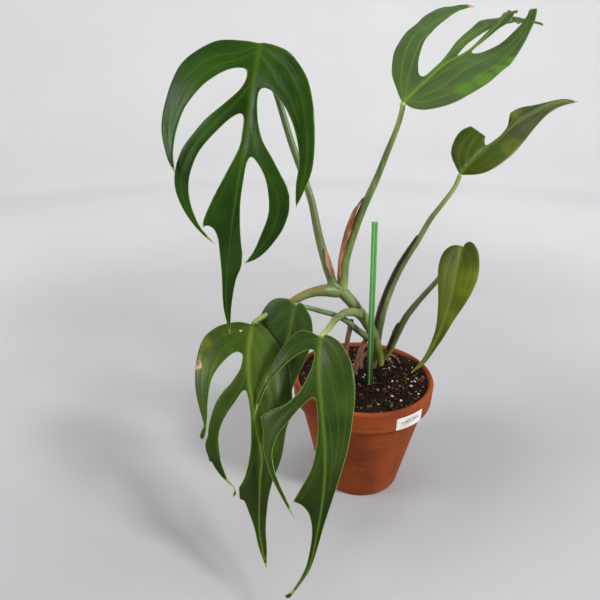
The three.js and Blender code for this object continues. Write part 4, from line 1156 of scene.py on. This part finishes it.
profile = pot_profile()
angles = np.linspace(0, 2 * math.pi, ROUND_STEPS, endpoint=False)
points = []
for radius, z in profile:
    outer = turning_rings(radius, z)
    wobble = 1 + 0.0006 * np.sin(3 * angles + z * 0.05)
    reach = np.minimum(outer * wobble, RIM_RADIUS)
    points.append(np.column_stack([reach * np.cos(angles), reach * np.sin(angles), np.full(ROUND_STEPS, z)]))
r = Recipe("fired clay", 0.82, specular=0.2)
clouds = r.noise(22, 5, 0.6, twist=0.4)
base = r.mix(r.band(clouds, 0.32, 0.68), colour(116, 50, 17), colour(148, 69, 28))
rings_tone = r.noise(1.0, 4, 0.65, r.stretched((6, 6, 420)))
base = r.mix(r.band(rings_tone, 0.4, 0.7, 0.0, 0.16), base, colour(166, 88, 46))
base = r.mix(r.band(r.noise(130, 4, 0.7), 0.58, 0.74, 0.0, 0.28), base, colour(180, 108, 68))
specks = r.noise(1400, 2, 0.5)
base = r.mix(r.band(specks, 0.62, 0.72, 0.0, 0.35), base, colour(104, 52, 30))
pits = r.math("ADD", r.math("MULTIPLY", specks, 0.6), r.math("MULTIPLY", r.noise(260, 4, 0.6), 0.8))
clay = r.finish(base, r.band(clouds, 0.3, 0.7, 0.72, 0.9), r.bump(pits, 0.0004, 0.5))
make_piece("clay_pot", np.vstack(points), join_rows(len(profile), ROUND_STEPS), clay, ("pot",))

# %% [markdown]
# ## The soil
#
# The pot is filled with a dark mix of peat and bark, and white perlite grains lie in it, more of
# them towards the front and right. The surface itself is lumpy, from layers of noise, and on it
# lie loose crumbs, bark chips and grains. Each crumb is a small ball with its points pushed in
# and out, and a seeded draw places them, so they fall the same way each time.

# %% Soil body
SOIL_TOP = 99.3
SOIL_RINGS, SOIL_SPOKES = 90, 240
SOIL_GAP = 0.3


def inner_radius(z):
    heights = [FLOOR, SHOULDER, POT_HEIGHT - LIP * 1.5]
    return float(np.interp(z, heights, [FLOOR_EDGE, BODY_TOP_RADIUS - WALL, RIM_RADIUS - WALL]))


def soil_height(x, y):
    small = noise.noise(Vector((x * 0.55, y * 0.55, 2))) * 0.55
    wide = noise.noise(Vector((x * 0.11, y * 0.11, 5))) * 0.9
    grain = noise.noise(Vector((x * 1.4, y * 1.4, 9))) * 0.3
    return SOIL_TOP + (small + wide + grain)


edge_radius = inner_radius(SOIL_TOP) - 0.05
spokes = [2 * math.pi * spoke / SOIL_SPOKES for spoke in range(SOIL_SPOKES)]
points = [[0, 0, soil_height(0, 0)]]
for ring in range(1, SOIL_RINGS + 1):
    out = edge_radius * ring / SOIL_RINGS
    for angle in spokes:
        x, y = out * math.cos(angle), out * math.sin(angle)
        points.append([x, y, soil_height(x, y)])
for z in (SHOULDER, FLOOR + SOIL_GAP):
    out = inner_radius(z) - SOIL_GAP
    points += [[out * math.cos(angle), out * math.sin(angle), z] for angle in spokes]
points.append([0, 0, FLOOR + SOIL_GAP])
faces = [(0, 1 + i, 1 + (i + 1) % SOIL_SPOKES) for i in range(SOIL_SPOKES)]
faces += join_rows(SOIL_RINGS + 2, SOIL_SPOKES, start=1, inward=True)
last = 1 + (SOIL_RINGS + 1) * SOIL_SPOKES
faces += [(len(points) - 1, last + (i + 1) % SOIL_SPOKES, last + i) for i in range(SOIL_SPOKES)]


def soil_recipe(name, dark, light, rough):
    r = Recipe(name, rough, specular=0.12)
    crumbs = r.noise(420, 6, 0.7)
    base = r.mix(r.band(crumbs, 0.38, 0.62), dark, light)
    base = r.mix(r.band(r.noise(1500, 3, 0.6), 0.6, 0.72, 0.0, 0.5), base, colour(92, 66, 48))
    return r.finish(base, None, r.bump(crumbs, 0.0012, 1.0))


soil_dark = soil_recipe("peat", colour(14, 8, 5), colour(38, 24, 16), 0.95)
make_piece("soil_fill", points, faces, soil_dark, ("soil",))

# %% Crumbs, bark chips and perlite grains
SEED = 7
GOLD = (1 + math.sqrt(5)) / 2
ICO_POINTS = unit(np.array([
    [-1, GOLD, 0], [1, GOLD, 0], [-1, -GOLD, 0], [1, -GOLD, 0], [0, -1, GOLD], [0, 1, GOLD], [0, -1, -GOLD],
    [0, 1, -GOLD], [GOLD, 0, -1], [GOLD, 0, 1], [-GOLD, 0, -1], [-GOLD, 0, 1],
], float))
ICO_FACES = [
    (0, 11, 5), (0, 5, 1), (0, 1, 7), (0, 7, 10), (0, 10, 11), (1, 5, 9), (5, 11, 4), (11, 10, 2), (10, 7, 6),
    (7, 1, 8), (3, 9, 4), (3, 4, 2), (3, 2, 6), (3, 6, 8), (3, 8, 9), (4, 9, 5), (2, 4, 11), (6, 2, 10),
    (8, 6, 7), (9, 8, 1),
]


def finer_ball():
    points, faces, middles = [list(p) for p in ICO_POINTS], [], {}

    def middle(a, b):
        key = (min(a, b), max(a, b))
        if key not in middles:
            points.append(list(unit((np.array(points[a]) + np.array(points[b])) / 2)))
            middles[key] = len(points) - 1
        return middles[key]

    for a, b, c in ICO_FACES:
        ab, bc, ca = middle(a, b), middle(b, c), middle(c, a)
        faces += [(a, ab, ca), (b, bc, ab), (c, ca, bc), (ab, bc, ca)]
    return np.array(points), faces


BALL_POINTS, BALL_FACES = finer_ball()
STEM_FOOT, STAKE_FOOT = (17.5, 21.5), (4.4, -11.5)
STANDING = [(stations[-1][:2], 3.0) for stations in ROOTS.values()] + [(STEM_FOOT, 6.0), (STAKE_FOOT, 4.0)]


def scatter(name, count, sizes, stretch, finish, draw, lean=(0, 0), roughness=0.3, sink=0.25):
    points, faces = [], []
    while len(faces) < count * len(BALL_FACES):
        angle, out = draw.uniform(0, 2 * math.pi), math.sqrt(draw.random()) * (edge_radius - 1.5)
        x, y = out * math.cos(angle), out * math.sin(angle)
        pull = (x * lean[0] + y * lean[1]) / edge_radius
        if draw.random() > 0.5 + pull or any(math.hypot(x - s[0], y - s[1]) < gap for s, gap in STANDING):
            continue
        size = sizes[0] + (sizes[1] - sizes[0]) * draw.random() ** 2
        shape = np.array([1 + stretch * draw.random(), 1.0, draw.uniform(0.55, 0.9)]) * size / 2
        offset = Vector((draw.uniform(0, 99), 0, 0))
        rough = np.array([1 + roughness * noise.noise(Vector(p) * 1.7 + offset) for p in BALL_POINTS])
        turn, tip = draw.uniform(0, 2 * math.pi), draw.uniform(-0.5, 0.5)
        c, s = math.cos(turn), math.sin(turn)
        ct, st = math.cos(tip), math.sin(tip)
        spin = np.array([[c, -s, 0], [s, c, 0], [0, 0, 1]]) @ np.array([[ct, 0, st], [0, 1, 0], [-st, 0, ct]])
        ball = (BALL_POINTS * rough[:, None] * shape) @ spin.T
        start = sum(map(len, points))
        points.append(ball + [x, y, soil_height(x, y) + size * (0.5 - sink) * 0.6])
        faces += [tuple(v + start for v in face) for face in BALL_FACES]
    make_piece(name, np.vstack(points), faces, finish)


draw = random.Random(SEED)
crumb_finish = soil_recipe("crumbs", colour(18, 10, 7), colour(54, 36, 25), 0.95)
scatter("soil_crumbs", 900, (0.9, 3.0), 0.5, crumb_finish, draw, roughness=0.5)
chip_finish = soil_recipe("bark chips", colour(50, 30, 19), colour(110, 74, 50), 0.9)
scatter("bark_chips", 150, (1.0, 2.8), 3.4, chip_finish, draw, roughness=0.4)
r = Recipe("perlite", 0.85)
base = r.mix(r.band(r.noise(500, 4, 0.6), 0.35, 0.65), colour(168, 158, 150), colour(226, 220, 214))
perlite = r.finish(base, None, r.bump(r.noise(1600, 4, 0.6), 0.0006, 0.9))
scatter("perlite_grains", 125, (0.6, 2.0), 0.7, perlite, draw, lean=(0.35, -0.3), roughness=0.5, sink=0.1)

# %% [markdown]
# ## The sticker
#
# A white paper sticker lies round the collar. Its real print is left off, and soft grey bars of
# different length stand in for lines of print. The strip is a fine grid, so that the finish can
# read where a point is across it and up it, and a thin cream border is left all round.

# %% Sticker
LABEL = dict(start=20, end=45.5, low=84.5, high=95.7, thickness=0.25, corner=0.9)
COLUMNS, ROWS = 60, 26
collar_slope = (RIM_RADIUS - COLLAR_LOW_RADIUS) / COLLAR_HEIGHT


def label_point(u, v, lift):
    width = math.radians(LABEL["end"] - LABEL["start"]) * RIM_RADIUS
    tall = LABEL["high"] - LABEL["low"]
    x, z = u * width, v * tall
    corner = LABEL["corner"]
    cx, cz = min(max(x, corner), width - corner), min(max(z, corner), tall - corner)
    if (x - cx) and (z - cz):
        over = math.hypot(x - cx, z - cz)
        most = corner * max(abs(x - cx), abs(z - cz)) / over if over else corner
        x, z = cx + (x - cx) * most / corner, cz + (z - cz) * most / corner
    z += LABEL["low"]
    radius = RIM_RADIUS - (POT_HEIGHT - z) * collar_slope + 0.05 + lift
    angle = math.radians(LABEL["start"] - 90) + x / RIM_RADIUS
    return [radius * math.cos(angle), radius * math.sin(angle), z]


points, across_share, up_share = [], [], []
for lift in (0.0, LABEL["thickness"]):
    for row in range(ROWS + 1):
        for column in range(COLUMNS + 1):
            u, v = column / COLUMNS, row / ROWS
            points.append(label_point(u, v, lift))
            across_share.append(u)
            up_share.append(v)
faces = two_sided(join_rows(ROWS + 1, COLUMNS + 1, closed=False), (ROWS + 1) * (COLUMNS + 1))
BARS = [
    (0.72, 0.08, 0.3, 0.8, 0.75), (0.54, 0.1, 0.16, 0.88, 1.0), (0.37, 0.06, 0.2, 0.7, 0.7),
    (0.24, 0.05, 0.12, 0.5, 0.5),
]
r = Recipe("sticker paper", 0.55)
u, v = r.number("across_share"), r.number("up_share")
base = r.mix(r.noise(60, 3, 0.5), colour(222, 222, 218), colour(234, 232, 226))
for level, half, left, right, strength in BARS:
    off = r.math("ABSOLUTE", r.math("SUBTRACT", v, level))
    inside = r.math("MULTIPLY", r.band(off, 0.5 * half, half, 1.0, 0.0), r.band(u, left, left + 0.03))
    inside = r.math("MULTIPLY", inside, r.band(u, right - 0.03, right, 1.0, 0.0))
    smudge = r.band(r.noise(900, 3, 0.6), 0.4, 0.62, 0.35, 1.0)
    base = r.mix(r.math("MULTIPLY", r.math("MULTIPLY", inside, smudge), strength), base, colour(58, 60, 64))
near_side = r.math("MINIMUM", r.math("MINIMUM", u, r.math("SUBTRACT", 1.0, u)),
                   r.math("MULTIPLY", r.math("MINIMUM", v, r.math("SUBTRACT", 1.0, v)), 0.45))
base = r.mix(r.band(near_side, 0.01, 0.04, 0.9, 0.0), base, colour(232, 214, 200))
sticker = r.finish(base, None, r.bump(r.noise(1200, 3, 0.5), 0.0001, 0.4))
make_piece("collar_sticker", points, faces, sticker, ("label",),
           {"across_share": across_share, "up_share": up_share})

# %% [markdown]
# ## The studio
#
# The floor is a pale sheet that sweeps up all round, far from the plant, so that no edge shows
# from any side. One soft lamp stands high at the front right and throws the shadow to the left.
# A wide one at the upper left gives the leaves their grey sheen, and one overhead lights the
# wall. The sky stays dim, because a bright one would lay a grey veil over the dark leaves. The
# sheet is a little darker near the plant: that is painted shade, for the darker floor round and
# in front of the plant.

# %% Floor and lights
SWEEP = [(0, 0), (1.3, 0), (1.55, 0.03), (1.8, 0.15), (1.98, 0.38), (2.05, 0.7), (2.05, 1.7)]
sweep_line = walk(smooth_line([[x, z] for x, z in SWEEP], held=True), 0.05)
FLOOR_SPOKES = 96
spokes = [2 * math.pi * i / FLOOR_SPOKES for i in range(FLOOR_SPOKES)]
points = [[0, 0, 0]]
for out, z in sweep_line[1:]:
    points += [[out * math.cos(angle), out * math.sin(angle), z] for angle in spokes]
faces = [(0, 1 + i, 1 + (i + 1) % FLOOR_SPOKES) for i in range(FLOOR_SPOKES)]
faces += join_rows(len(sweep_line) - 1, FLOOR_SPOKES, start=1, inward=True)
mesh = bpy.data.meshes.new("floor")
mesh.from_pydata(points, [], faces)
mesh.shade_smooth()
r = Recipe("pale floor", 0.75)
distance = r.node("ShaderNodeVectorMath", {0: r.place()}, output="Value", operation="LENGTH")
# painted shade: the floor is darker near the plant and paler further out
paper = r.mix(r.band(distance, 0.2, 1.3), colour(164, 164, 166), colour(216, 216, 217))
paper = r.mix(r.band(r.noise(3, 2, 0.5), 0.3, 0.7, 0.0, 0.06), paper, colour(255, 255, 255))
mesh.materials.append(r.finish(paper))
floor = bpy.data.objects.new("floor", mesh)
bpy.context.collection.objects.link(floor)


def soft_lamp(name, place, size, power, look_at=(0, 0, 0.2)):
    light = bpy.data.lights.new(name, "AREA")
    light.shape = "DISK"
    light.size = size
    light.energy = power
    lamp = bpy.data.objects.new(name, light)
    lamp.location = place
    lamp.rotation_mode = "QUATERNION"
    lamp.rotation_quaternion = (Vector(place) - Vector(look_at)).to_track_quat("Z", "Y")
    bpy.context.collection.objects.link(lamp)


soft_lamp("key lamp", (1.0, -0.6, 1.0), 0.3, 20)
soft_lamp("left lamp", (-1.2, -0.35, 1.05), 0.7, 15)
soft_lamp("wall lamp", (0.3, 0.5, 1.7), 1.4, 18, look_at=(0, 1.8, 0.45))
world = bpy.context.scene.world or bpy.data.worlds.new("sky")
bpy.context.scene.world = world
world.use_nodes = True
world.node_tree.nodes["Background"].inputs["Color"].default_value = (0.96, 0.98, 1.0, 1)
world.node_tree.nodes["Background"].inputs["Strength"].default_value = 0.13
bpy.context.scene.view_settings.view_transform = "Standard"
